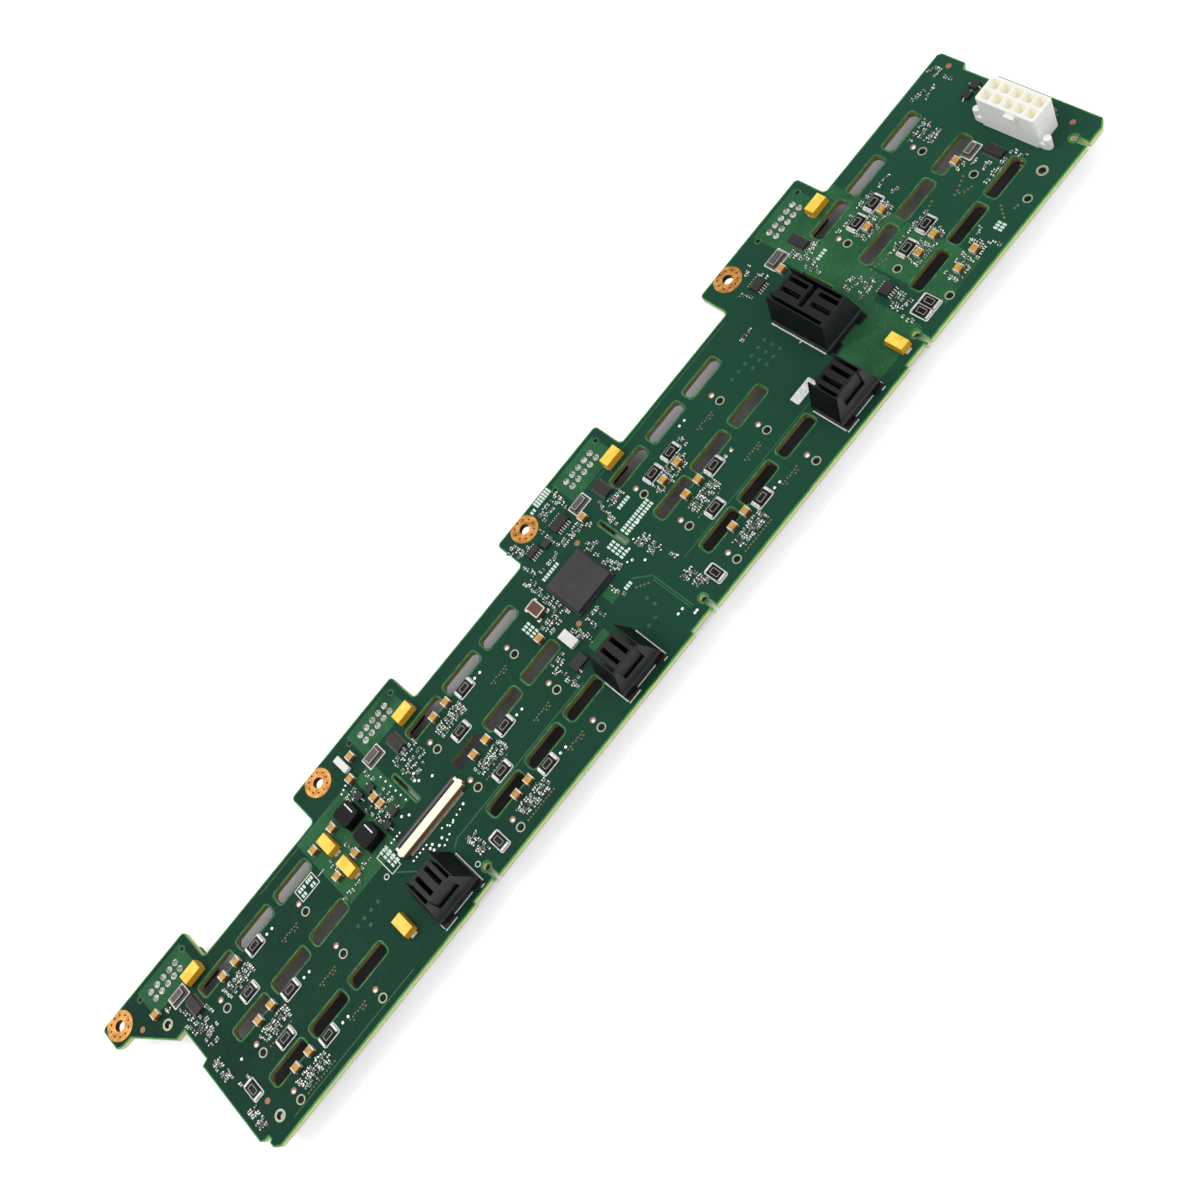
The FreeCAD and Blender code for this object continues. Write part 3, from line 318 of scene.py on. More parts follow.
def edge_ribbon(name, node, width, finish):
    """A thin ribbon of mask along the outer edge of a flat node's top face. An edge that only one triangle of that
    face uses lies on an outline, and of the joined outlines the widest is the outer one. Each corner p of it has
    its inner point at p + width * (n1 + n2) / (1 + n1 . n2), where n1 and n2 are the inward normals of its edges."""
    mesh, _, spots, same = node_points(node)
    mesh.calc_loop_triangles()
    corners = np.zeros(len(mesh.loop_triangles) * 3, np.int32)
    mesh.loop_triangles.foreach_get("vertices", corners)
    triangles = same[corners.reshape(-1, 3)]
    on_top = (spots[triangles][:, :, 2] > BOARD_TOP - 0.01).all(axis=1)
    edges = triangles[on_top][:, [[0, 1], [1, 2], [2, 0]]].reshape(-1, 2)
    count = len(spots)
    alone = ~np.isin(edges[:, 0] * count + edges[:, 1], edges[:, 1] * count + edges[:, 0])
    start, end = edges[alone].T
    mark = islands(count, start, end)
    numbers = np.unique(mark[start])
    outer = numbers[np.argmax([np.ptp(spots[start[mark[start] == number], 0]) for number in numbers])]
    start, end = start[mark[start] == outer], end[mark[end] == outer]
    run = spots[end] - spots[start]
    normal = np.stack([-run[:, 1], run[:, 0]], axis=1) / np.linalg.norm(run, axis=1)[:, None]
    total, product = np.zeros((count, 2)), np.ones((count, 2))
    for ends in (start, end):
        np.add.at(total, ends, normal)
        np.multiply.at(product, ends, normal)
    sharpest = 0.6
    inner = spots[:, :2] + width * total / np.maximum(1.0 + product.sum(axis=1), sharpest)[:, None]
    section = [(spots[:, :2], 0.0), (spots[:, :2], 0.04), (inner, 0.05), (inner, 0.0)]
    rings = np.stack([np.column_stack([flat, np.full(count, BOARD_TOP + rise)]) for flat, rise in section])
    quads = [np.stack([start + low * count, end + low * count, end + high * count, start + high * count], axis=1)
             for low, high in ((0, 1), (1, 2), (2, 3), (3, 0))]
    used, compact = np.unique(np.vstack(quads), return_inverse=True)
    return add_piece(name, rings.reshape(-1, 3)[used], compact.reshape(-1, 4).tolist(), finish)


edge_ribbon("edge_fringe", "circuit_board", 0.45, fringe)
raise_outlines("vent_rims", VENTS, (16.5, 6.0, 1.7), band(0.05, 0.55, 0.06, 0.03), rim, steps=3)
raise_outlines("slit_rims", [(x, 6.85) for x in KEYHOLE_X[:3]], (2.6, 14.3, 0.9), band(0.05, 0.66, 0.06, 0.03), rim)
raise_outlines("keyhole_rims", [(x, -33.95) for x in KEYHOLE_X], disc(4.0), band(0.05, 0.76, 0.06, 0.03), rim,
               steps=5)


# Bare copper and solder on the board: gold-coloured rings round the mounting holes, tinned rings round the tooling
# and peg holes, round targets for the placing machine, and rows of small plated vias. All are plated in one bath.

copper = mottled("plated_copper", (150, 98, 34), (208, 148, 70), 520.0, 4.0, (0.35, 0.65), 0.15, 0.00006,
                 roughness=0.45, metallic=0.45, specular=0.4)
brown_copper = mottled("tarnished_copper", (116, 78, 56), (184, 132, 98), 1100.0, roughness=0.55, metallic=0.2,
                       specular=0.3)
tin = mottled("solder_tin", (214, 216, 212), (248, 248, 246), 1300.0, 2.0, (0.3, 0.7), 0.2, 0.00006, roughness=0.36,
              metallic=0.45)
dull_tin = mottled("old_tin", (128, 138, 112), (176, 184, 156), 1400.0, grain=0.1, roughness=0.5, metallic=0.3)
bore = mottled("hole_shadow", (44, 30, 18), (78, 52, 28), 1200.0, roughness=0.6, specular=0.2)


def plate(wall, inset, top):
    """The profile of a flat patch: up its wall, then in over a worn edge to its top."""
    return [(0.0, 0.0), (0.0, wall), (inset, top)]


raise_outlines("mounting_rings", MOUNTS, disc(10.1),
               [(0.0, 0.0), (0.0, 0.06), (0.1, 0.08), (3.2, 0.08), (3.24, 0.0)], copper, steps=10)
spokes = np.radians(np.arange(10) * 36.0 + 18.0)
ring_vias = [(x + 3.55 * np.cos(turn), y + 3.55 * np.sin(turn)) for x, y in MOUNTS for turn in spokes]
dome = plate(0.09, 0.12, 0.13)
raise_outlines("mounting_ring_vias", ring_vias, (0.75, 0.75, 0.37), dome, bore)
raise_outlines("tooling_rings", TOOLING, disc(3.9), band(0.06, 0.7, 0.06, 0.04), dull_tin, steps=6)
PEG_HOLES = [(x + side, y) for x in COLUMN_X for side in (-23.0, 15.4) for y in (6.8, -13.9, -34.6)]
raise_outlines("peg_hole_rings", PEG_HOLES, disc(3.2), band(0.06, 0.4, 0.07, 0.04), dull_tin, steps=4)
targets = [(-198.7, 26.9), (-181.2, -25.9), (206.1, 20.0), (204.3, -30.0), (8.8, 15.0), (-11.0, -4.9)]
raise_outlines("machine_targets", targets, disc(2.0), plate(0.05, 0.15, 0.08), brown_copper, steps=4)
nails = [(x, y + 3.8) for x, y in PEG_HOLES if not (x > 120 and y < 0)]
raise_outlines("hold_down_pads", nails, disc(2.1), plate(0.06, 0.12, 0.09), brown_copper, steps=4)
raise_outlines("hold_down_solder", [(x - 0.1, y - 0.35) for x, y in nails], (1.5, 1.2, 0.6),
               [(0.0, 0.05), (0.03, 0.2), (0.2, 0.4), (0.45, 0.5)], tin, steps=3)


def rows_of(*rows):
    """Places in straight rows: each row is a start x and y, a count, and the step to the next in x and y."""
    return [(x + step_x * n, y + step_y * n) for x, y, count, step_x, step_y in rows for n in range(count)]


vias = rows_of((-170.0, -35.3, 11, 1.2, 0), (-66.5, -35.2, 11, 1.2, 0),
               (37.5, -35.2, 11, 1.2, 0), (-170.0, -14.6, 9, 1.2, 0), (-66.0, -14.6, 9, 1.2, 0),
               (37.8, -14.6, 9, 1.2, 0))
vias += [(x + dx, y + dy) for x in COLUMN_X[:3] for y in (6.3, -14.8, -30.8)
         for dx, dy in zip((3.8, 5.0, 6.2, 7.3, 8.4, 9.6, 10.7, 4.6, 8.8, 10.1), (0.3, 0.2, 0.4, 0.1, 0.3, 0.2,
                           0.4, -0.8, -0.9, -0.8))]
via_olive = mottled("olive_via", (78, 86, 48), (140, 128, 84), 700.0, roughness=0.5, specular=0.2)
raise_outlines("via_rings", vias, disc(0.7), [(0.0, 0.0), (0.05, 0.05)], via_olive)
dots = [(x + dx, y + dy) for x in COLUMN_X[:3] for y in (12.8, -8.3, -29.2)
        for dx, dy in ((1.5, 0.0), (3.9, -0.1))]
dots += [(-91.9, -14.1), (-90.6, -16.3), (-88.4, -15.3), (-92.7, -15.9), (-93.2, -14.5), (10.0, -30.7),
         (12.0, -30.7), (13.3, -35.0), (14.3, -35.0), (-179.5, -9.3), (-76.4, -13.5), (-90.5, -0.6), (-92.5, 1.2),
         (-80.3, 8.0), (-81.6, 5.9), (-80.7, 4.7), (-76.7, 1.9), (25.4, 2.0), (17.1, -1.9), (14.9, -5.4),
         (17.3, -9.1)]
raise_outlines("test_dots", dots, disc(1.0), dome, tin)
small_dots = rows_of((-100.5, -2.05, 4, 1.33, 0), (-99.5, -12.6, 5, 1.55, 0), (-86.3, -13.1, 3, 1.8, -0.9),
                     (-87.8, 4.0, 6, -0.1, 2.6), (-84.0, -14.8, 4, 1.9, 0.3), (-89.4, -17.8, 3, 1.7, 0.6),
                     (20.4, -0.8, 4, 1.3, -1.3), (11.8, -3.4, 3, 1.6, -1.1), (-101.0, 24.6, 3, 1.4, 0.5))
raise_outlines("small_test_dots", small_dots, disc(0.72), dome, tin)
worn_vias = rows_of((173.9, -11.2, 4, -1.7, -0.6), (167.1, -13.2, 3, 1.2, -0.9), (171.9, -16.1, 3, -1.3, 0.4),
                    (170.2, -28.7, 4, -1.0, -1.2), (172.5, -33.4, 2, -1.2, 0.3), (162.0, -8.0, 5, -1.6, -0.5),
                    (186.2, -24.6, 3, -1.5, -0.7), (8.8, -13.0, 4, 1.1, -0.8), (133.4, -6.4, 5, 1.3, -0.5))
raise_outlines("worn_vias", worn_vias, (0.85, 0.85, 0.42), [(0.0, 0.0), (0.05, 0.06)], via_olive)

arrays = [(20.6, 4.5, 12, 1.12), (20.6, 2.5, 12, 1.12), (10.6, 38.3, 7, 1.05), (10.6, 36.8, 7, 1.05),
          (7.7, 36.6, 2, 1.2), (-23.4, 9.9, 3, 1.2), (-23.4, 7.9, 3, 1.2), (-23.4, 5.9, 3, 1.2), (13.6, 4.4, 3, 1.2),
          (13.6, 2.4, 3, 1.2), (13.6, 0.4, 3, 1.2), (13.6, -1.6, 3, 1.2), (6.6, -10.2, 3, 1.1),
          (128.4, 12.0, 4, 1.2), (163.0, -32.2, 3, 1.1), (163.0, -34.0, 3, 1.1), (-105.0, -1.6, 3, 1.2),
          (-105.0, -3.6, 3, 1.2), (-105.0, -5.6, 3, 1.2), (-105.0, -7.6, 3, 1.2), (-7.0, 16.0, 7, 1.1),
          (-132.0, 13.3, 3, 1.1), (-132.0, 11.2, 2, 1.1), (-128.2, 13.4, 3, 1.0), (-127.8, 11.1, 2, 1.1),
          (25.8, 11.0, 5, 1.1)]
array_pads = rows_of(*[(x, y, count, pitch, 0) for x, y, count, pitch in arrays])
bath_tin = mottled("pale_bath_tin", (170, 198, 182), (224, 240, 228), 1800.0, 2.0, (0.3, 0.7), roughness=0.5,
                   metallic=0.1, specular=0.3)
film = plate(0.03, 0.06, 0.045)
raise_outlines("tinned_pads", array_pads, (0.78, 1.45, 0.12), film, bath_tin, steps=1)
pour = mottled("mask_over_copper", (30, 80, 48), (52, 108, 66), 600.0, grain=0.1, roughness=0.45, specular=0.15)
thermal = rows_of((80.2, 8.3, 6, 3.3, 0), (86.8, 4.9, 4, 3.3, 0), (90.1, 1.6, 3, 3.3, 0),
                  (-125.7, -11.8, 4, 3.2, 0), (-122.5, -15.0, 1, 0, 0), (1.7, -25.2, 2, 3.3, 0),
                  (8.2, -18.4, 2, 0, -3.4))
raise_outlines("covered_squares", thermal, (1.2, 1.2, 0.2), film, pour, steps=1)


# Traces: copper tracks that run under the mask between the bays. They are etched with the pours and stand a little
# proud of the board, so each is a low ridge of the mask's own green. Each row is x, y, length, width and turn.

tracks = [(-54.5, -19.7, 61.0, 0.5, 0.0), (-86.4, -20.3, 4.2, 0.5, 28.0), (12.5, -12.2, 7.6, 0.5, -48.0),
          (14.8, -24.0, 0.5, 18.0, 0.0), (13.9, -24.4, 0.4, 17.2, 0.0), (-103.5, -13.0, 7.8, 0.5, -50.0),
          (-122.0, 24.6, 40.0, 0.4, 0.0), (60.0, 24.8, 70.0, 0.4, 0.0), (60.0, -19.7, 70.0, 0.4, 0.0),
          (-150.0, -36.6, 56.0, 0.4, 0.0), (165.0, -21.0, 30.0, 0.4, 0.0)]
x, y, length, width, turn = np.array(tracks).T
raise_outlines("tracks", np.stack([x, y, turn], axis=1), (length, width, 0.2), film, pour, steps=1)


# Printed outlines: thin white lines, rings and a patch of screen ink, printed on the mask round the connectors and
# chips to show where they go. Each line is x, y, length and width.

ink = mottled("white_screen_ink", (196, 204, 200), (236, 238, 234), 1600.0, 2.0, (0.35, 0.6), roughness=0.6,
              specular=0.3)
layer = plate(0.04, 0.03, 0.05)
lines = []
CABLE_X = [-97.95, -11.0, 94.1]
for x in CABLE_X:
    lines += [(x - 9.15, -29.3, 0.4, 13.4), (x + 9.15, -29.3, 0.4, 13.4), (x + 0.3, -35.75, 8.6, 0.35),
              (x - 6.6, -37.1, 5.2, 0.4), (x - 9.0, -36.2, 0.6, 0.4), (x + 8.0, -37.1, 1.6, 0.4)]
lines += [(102.5, -1.6, 0.45, 23.4), (101.9, -3.0, 1.2, 0.45), (-85.2, 25.0, 5.0, 0.4), (-122.9, 11.6, 3.0, 0.25)]
for x, y, length, width in ((-105.05, -5.5, 3.9, 8.3), (-129.15, 12.25, 8.1, 4.9)):
    lines += [(x, y + side * width / 2, length + 0.3, 0.3) for side in (-1, 1)]
    lines += [(x + side * length / 2, y, 0.3, width) for side in (-1, 1)]
x, y, length, width = np.array(lines).T
raise_outlines("printed_lines", np.stack([x, y], axis=1), (length, width, 0.1), layer, ink, steps=1)
raise_outlines("printed_patch", [(88.8, -15.3)], (9.2, 3.7, 0.3), layer, ink)
raise_outlines("printed_rings", [(-86.5, -31.1), (-108.9, -8.6)], disc(2.0), band(0.04, 0.3, 0.04, 0.02), ink,
               steps=4)


# Drive receptacles under the board: black glass-filled housings with gold-flashed contacts along both walls of the
# mating slot, one of which steps in beside the key. Their pegs stand in the board's holes.

def black_mould(name, dark, light, roughness, specular):
    """A black moulded plastic: two shades mixed by a coarse noise, and a fine grain in its surface."""
    mould = Finish(name, roughness=roughness, specular=specular)
    cloud = mould.noise(180.0, 3.0)
    texture = mould.noise(2600.0, 2.0)
    return mould.finish(mould.blend(cloud.between(0.3, 0.7), dark, light), texture, 0.15)


drive_black = black_mould("receptacle_black", (5, 5, 6), (13, 13, 14), 0.5, 0.14)
drive_black.dress(*[f"drive_connector_r{row}c{column}" for row in (1, 2, 3) for column in (1, 2, 3, 4)])
gold = mottled("gold_flashed_contact", (196, 164, 96), (232, 206, 142), 1500.0, 2.0, (0.3, 0.7), 0.1, 0.00003,
               roughness=0.3, metallic=0.95)
SLOT_X, KEY, KEY_GAP = -3.8, -7.0, 0.4
WALL, KEYED_WALL = 1.39, 0.39
strip_steps = np.arange(25) * 1.27 - 15.24
contacts = []
for x in COLUMN_X:
    for y in (10.5, -10.2, -30.9):
        contacts += [(x + SLOT_X + step, y + WALL) for step in strip_steps]
        contacts += [(x + SLOT_X + step, y - (KEYED_WALL if step < KEY else WALL)) for step in strip_steps
                     if abs(step - KEY) > KEY_GAP]
raise_outlines("receptacle_contacts", contacts, (0.6, 0.18, 0.05), [(0.03, 0.6), (0.0, 0.75), (0.0, 5.58)], gold,
               steps=1, base=0.0)


# Tab headers: black shrouds under the tabs. Their tinned pins come up through the board and are soldered on top,
# so each joint is a small bright cone round a pin.

header_black = black_mould("tab_header_black", (8, 8, 9), (16, 16, 17), 0.5, 0.2)
header_black.dress(*[f"tab_header_{number}" for number in (1, 2, 3, 4)])
tin.dress("tab_header_pins")
joints = [(x + 3.0 * step, 32.25 + side) for x in TAB_X for step in (-2, -1, 0, 1, 2) for side in (-1.5, 1.5)]
joint_tin = mottled("joint_tin", (146, 144, 138), (232, 230, 226), 700.0, 3.0, (0.35, 0.65), 0.15, 0.00006,
                    roughness=0.45, metallic=0.2, specular=0.4)
raise_outlines("tab_joint_pads", joints, disc(2.2), plate(0.05, 0.1, 0.07), joint_tin, steps=4)
raise_outlines("tab_joint_cones", joints, disc(1.8), [(0.0, 0.05), (0.12, 0.3), (0.4, 0.62), (0.5, 1.02)],
               joint_tin, steps=4)
raise_outlines("tab_pin_tips", joints, disc(0.72), [(0.0, 0.9), (0.0, 1.1), (0.1, 1.2)], bore, steps=3)
latch_holes = [(x + side, 35.2) for x in TAB_X for side in (-10.5, 10.5)]
raise_outlines("tab_latch_rings", latch_holes, disc(2.4), band(0.05, 0.4, 0.06, 0.02), rim,
               steps=4)
raise_outlines("tab_latch_holes", latch_holes, disc(1.5), [(0.0, 0.0), (0.0, 0.03)], drive_black,
               steps=3)


# Cable connectors: satin black housings with two guide towers and a contact block. Their contacts sit in two slots
# beside a tongue, and their tails are soldered to the rows of pads behind.

cable_black = Finish("cable_connector_black", roughness=0.42, specular=0.22)
moulded = cable_black.noise(180.0, 3.0).between(0.3, 0.7)
face_colour = cable_black.blend(moulded, (4, 4, 5), (11, 11, 12))
painted_lit_slope_colour = cable_black.blend(moulded, (27, 27, 30), (44, 44, 47))
# Painted light: faces that lean towards the front are painted lighter than the tops, standing in for the front
# lamp's reflection.
painted_light_on_slopes = cable_black.facing(1).between(-0.35, -0.75)
cable_black.finish(cable_black.blend(painted_light_on_slopes, face_colour, painted_lit_slope_colour), cable_black.noise(2600.0, 2.0), 0.15)
cable_black.dress("cable_connector_1", "cable_connector_2", "cable_connector_3", "double_cable_connector")
dull_tin.dress("cable_connector_contacts")
# Painted shade: the contact blades are painted a darker, browner gold for the shade deep in the slots.
shaded_blade_metal = mottled("contact_in_painted_shade", (88, 78, 52), (132, 116, 78), 1500.0, roughness=0.4, metallic=0.7)
ports = [(x, -32.85) for x in CABLE_X] + [(112.1, -13.2), (112.1, -0.8)]
blades = [(x + side, front + 0.7 + 0.8 * step) for x, front in ports for side in (-1.29, 1.29) for step in range(9)]
raise_outlines("cable_contact_blades", blades, (0.16, 0.4, 0.05), [(0.0, 3.5), (0.0, 10.6), (0.04, 11.0)], shaded_blade_metal,
               steps=1)
tails = [(x, -21.3) for x in CABLE_X] + [(111.2, 10.9)]
solder_pads = [(x + (step - 4) * 0.8, back) for x, back in tails for step in range(9)]
raise_outlines("cable_pads", solder_pads, (0.5, 2.6, 0.1), plate(0.06, 0.05, 0.1), dull_tin,
               steps=1)


# Power header: one off-white nylon housing with ten cells, and a square tinned pin in each. The insides of the cells
# are painted cream and glow a little: painted light, standing in for light through their thin walls.

nylon = Finish("off_white_nylon", roughness=0.5, specular=0.35)
shell = nylon.blend(nylon.noise(160.0, 3.0), (232, 232, 226), (248, 248, 243))
CELLS_TOP, CELLS_SOFT = 23.55, 0.02
painted_glow_cells = nylon.place(2) < CELLS_TOP
for axis, middle, half in ((0, 197.05, 4.3), (1, -15.55, 10.5)):
    inside = abs(nylon.place(axis) - middle).between(half + CELLS_SOFT, half - CELLS_SOFT)
    painted_glow_cells = painted_glow_cells * inside
# Painted light: the insides of the cells glow, though nothing in them is a lamp.
glow = nylon.blend(painted_glow_cells, (0.0, 0.0, 0.0, 1.0), (0.25, 0.245, 0.21, 1.0))
nylon.finish(nylon.blend(painted_glow_cells, shell, (220, 215, 198)), nylon.noise(2200.0), 0.08, glow=glow)
nylon.dress("power_header")
tin.dress("power_header_pins")


# Flat-cable connector: a cream housing, a black bar that flips up on its trunnions, and a row of fine contacts whose
# feet are soldered to a row of pads. A painted highlight runs along the bar's ridge.

cream = Finish("cream_plastic", roughness=0.5, specular=0.4)
cream_face = cream.blend(cream.noise(240.0, 3.0), (244, 237, 212), (252, 248, 230))
# Painted shade: faces that point to the front are painted brown for the shade in their contact slots.
shaded_front_face = cream.facing(1) < -0.6
cream.finish(cream.blend(shaded_front_face, cream_face, (112, 88, 44)), cream.noise(2400.0), 0.08)
bar_black = Finish("lock_bar_black", roughness=0.42, specular=0.35)
bar_cloud = bar_black.blend(bar_black.noise(200.0, 3.0), (18, 15, 16), (34, 29, 31))
RIDGE_Y, RIDGE_REACH = -5.8, 0.1
# Painted highlight: a light grey line along the ridge of the bar.
painted_ridge_highlight = abs(bar_black.place(1) - RIDGE_Y) < RIDGE_REACH
bar_black.finish(bar_black.blend(painted_ridge_highlight, bar_cloud, (128, 122, 130)), bar_black.noise(2600.0))
foot_metal = mottled("fine_contact_foot", (150, 132, 122), (206, 192, 184), 1500.0, roughness=0.45, metallic=0.4)
cream.dress("flat_cable_housing")
bar_black.dress("flat_cable_lock_bar")
foot_metal.dress("flat_cable_contacts")
flat_pads = [(-86.35 + (step - 24.5) * 0.5, -10.75) for step in range(50)]
raise_outlines("flat_cable_pads", flat_pads, (0.3, 1.1, 0.05), [(0.0, 0.0), (0.02, 0.06)], foot_metal, steps=1)


# Chips: black moulded resin on tinned or darkened leads that bend down to the board. The controller is a square
# block on a thin carrier.

resin = black_mould("chip_resin", (27, 26, 26), (41, 39, 39), 0.55, 0.3)
resin.dress("bay_driver_chips", "small_outline_chips", "leadless_chips", "power_transistors")
controller_resin = black_mould("controller_resin", (38, 37, 39), (51, 50, 52), 0.5, 0.3)
controller_resin.dress("controller_chip")


def part_boxes(node):
    """Lowest and highest corners, in millimetres, of each separate solid of a CAD node: its points are joined
    where they fall together and along the edges of its mesh."""
    mesh, points, spots, same = node_points(node)
    edges = np.zeros(len(mesh.edges) * 2, np.int32)
    mesh.edges.foreach_get("vertices", edges)
    owner = islands(len(spots), *same[edges.reshape(-1, 2)].T)[same]
    parts = [points[owner == number] for number in np.unique(owner)]
    return [(part.min(axis=0), part.max(axis=0)) for part in parts]


def bend_strips(name, places, path, width, thickness, finish):
    """Like metal strips bent to a path. For step s of the path and corner c of the strip's section, the point is
    the path's (outwards, height)(s), plus the corner's half width sideways and half thickness up. Each place is x,
    y and the direction in degrees in which the strip points outwards."""
    rows = np.array(places, float)
    outwards, height = np.array(path, float).T
    sideways = np.array([-0.5, 0.5, 0.5, -0.5]) * width
    rise = np.array([-0.5, -0.5, 0.5, 0.5]) * thickness
    slope = np.gradient(np.array(path, float), axis=0)
    slope /= np.linalg.norm(slope, axis=1, keepdims=True)
    out = outwards[:, None] - slope[:, 1][:, None] * rise
    up = height[:, None] + slope[:, 0][:, None] * rise
    turn = np.radians(rows[:, 2])[:, None, None]
    x = rows[:, 0][:, None, None] + out * np.cos(turn) - sideways * np.sin(turn)
    y = rows[:, 1][:, None, None] + out * np.sin(turn) + sideways * np.cos(turn)
    z = np.broadcast_to(BOARD_TOP + up, x.shape)
    points = np.stack([x, y, z], axis=-1)
    step, corner = np.arange(len(path) - 1)[:, None] * 4, np.arange(4)
    after = (corner + 1) % 4
    quads = np.stack([step + corner, step + 4 + corner, step + 4 + after, step + after], axis=-1).reshape(-1, 4)
    last = 4 * (len(path) - 1)
    quads = np.vstack([quads[:, ::-1], [[3, 2, 1, 0]], [[last, last + 1, last + 2, last + 3]]])
    start = np.arange(len(rows))[:, None, None] * 4 * len(path)
    return add_piece(name, points, (start + quads[:, ::-1]).reshape(-1, 4).tolist(), finish)


leads, fine_leads = [], []
for node, pitch in (("bay_driver_chips", 0.65), ("small_outline_chips", 0.95), ("power_transistors", 1.9)):
    for low, high in part_boxes(node):
        middle, span = (low + high) / 2, high - low
        fine = node == "bay_driver_chips"
        upright = fine or span[1] > span[0]
        lead_steps = np.arange(int((span[1] if upright else span[0]) / pitch)) * pitch
        for step in lead_steps - lead_steps.mean():
            if upright:
                pair = [(high[0], middle[1] + step, 0.0), (low[0], middle[1] + step, 180.0)]
            else:
                pair = [(middle[0] + step, high[1], 90.0), (middle[0] + step, low[1], 270.0)]
            (fine_leads if fine else leads).extend(pair)
lead_metal = mottled("tinned_lead", (164, 162, 140), (226, 225, 212), 900.0, grain=0.1, roughness=0.4, metallic=0.4)
dark_lead = mottled("darkened_lead", (84, 82, 70), (136, 134, 118), 900.0, roughness=0.45, metallic=0.4)
gull_wing = [(-0.15, 0.62), (0.25, 0.62), (0.4, 0.5), (0.5, 0.2), (0.65, 0.09), (1.1, 0.09)]
low_wing = [(-0.15, 0.5), (0.15, 0.5), (0.3, 0.2), (0.42, 0.08), (0.8, 0.08)]
bend_strips("chip_leads", leads, gull_wing, 0.36, 0.15, lead_metal)
bend_strips("fine_chip_leads", fine_leads, low_wing, 0.24, 0.12, dark_lead)


# Power inductors: pressed black ferrite blocks on a square foot, dull and slightly rough. A plain white bar is
# printed on each.

ferrite = black_mould("pressed_ferrite", (5, 5, 7), (13, 12, 15), 0.5, 0.12)
inductors = ["power_inductor_1", "power_inductor_2"]
ferrite.dress(*inductors)
blocks = [part_boxes(node)[0] for node in inductors]
bars = [((low[0] + high[0]) / 2 + 1.9, (low[1] + high[1]) / 2 + 0.5) for low, high in blocks]
raise_outlines("inductor_bars", bars, (0.45, 4.4, 0.1), plate(0.02, 0.03, 0.03), ink,
               base=blocks[0][1][2])


# Tantalum capacitors: yellow moulded blocks over two tinned strips, which are soldered to a pad at each end. Their
# sides lean in, and are painted a darker orange than their tops as painted shade.

yellow = Finish("yellow_moulding", roughness=0.45, specular=0.4)
haze = yellow.noise(400.0, 3.0)
moulding = yellow.blend(haze.between(0.3, 0.7), (232, 188, 40), (252, 222, 88))
# Painted shade: faces that do not face up are painted a darker orange.
moulding = yellow.blend(yellow.facing(2) < 0.5, moulding, (206, 150, 28))
STRIP_TOP = BOARD_TOP + 0.26
yellow.finish(yellow.blend(yellow.place(2) < STRIP_TOP, moulding, (190, 188, 180)), haze, distance=0.00005)
LONG_SIDE = 5.5
strip_ends = []
for number in range(1, 9):
    node = f"tantalum_capacitor_{number}"
    yellow.dress(node)
    low, high = part_boxes(node)[0]
    centre, span = (low + high) / 2, (high - low)[:2]
    reach = span * (span > LONG_SIDE) / 2
    turn = 90.0 if reach[1] > 0 else 0.0
    strip_ends += [(centre[0] + side * reach[0], centre[1] + side * reach[1], turn) for side in (-1, 1)]
raise_outlines("tantalum_pads", strip_ends, (1.5, 2.5, 0.2), plate(0.06, 0.1, 0.1), joint_tin)


# Oscillators: a ceramic base with a thin metal lid, welded on along a seam, inside a white printed frame. The lid
# has dulled to a grey brown.

lid = Finish("oscillator_lid", roughness=0.5, metallic=0.15, specular=0.3)
sheen = lid.noise(500.0, 3.0)
BASE_TOP = BOARD_TOP + 0.55
lid_colour = lid.blend(sheen, (68, 64, 62), (96, 91, 88))
lid.finish(lid.blend(lid.place(2) < BASE_TOP, lid_colour, (150, 138, 116)), sheen, 0.08)
oscillators = [f"oscillator_{number}" for number in range(1, 6)]
lid.dress(*oscillators)
lids = [part_boxes(node)[0] for node in oscillators]
centres = [tuple((low[:2] + high[:2]) / 2) for low, high in lids]
length, width = np.array([(high - low)[:2] for low, high in lids]).T
raise_outlines("oscillator_frames", centres, (length + 1.3, width + 1.3, 0.3), band(0.05, 0.4, 0.05, 0.02), ink)
worn_silver = mottled("weld_seam", (132, 128, 118), (196, 192, 180), 900.0, roughness=0.45, metallic=0.2,
                      specular=0.4)
raise_outlines("lid_seams", centres, (length - 1.0, width - 1.0, 0.3), band(0.03, 0.24, 0.04, 0.02), worn_silver,
               base=lids[0][1][2])


# White parts and the filter by the controller: small ceramic blocks with tinned ends. The filter is a brown block in
# a pale rim, soldered at its four corners.

white = mottled("white_ceramic", (206, 208, 204), (232, 232, 228), 700.0, 3.0, roughness=0.5, specular=0.4)
white.dress("white_chip_parts")
brown = mottled("filter_brown", (66, 40, 34), (96, 62, 50), 600.0, 3.0, roughness=0.55, specular=0.4)
brown.dress("four_pad_filter")
shell_cream = mottled("filter_rim", (186, 172, 146), (226, 214, 190), 900.0, roughness=0.5, specular=0.3)
low, high = part_boxes("four_pad_filter")[0]
centre, span = (low + high) / 2, high - low
under, over = span[2] - 0.05, span[2] + 0.05
raise_outlines("filter_rim", [tuple(centre[:2])], (span[0] - 0.1, span[1] - 0.1, 0.5),
               [(0.0, under), (0.0, over), (0.5, over), (0.52, under)], shell_cream)
filter_pads = [(centre[0] + x, centre[1] + y) for x in (-1.9, 1.9) for y in (-3.1, 3.1)]
raise_outlines("filter_pads", filter_pads, (1.5, 1.3, 0.3), plate(0.1, 0.1, 0.16), tin)


# Wide resistors: black overglaze on a white ceramic chip, with tinned ends, inside a white printed frame. A thin
# grey outline is printed on the glaze.

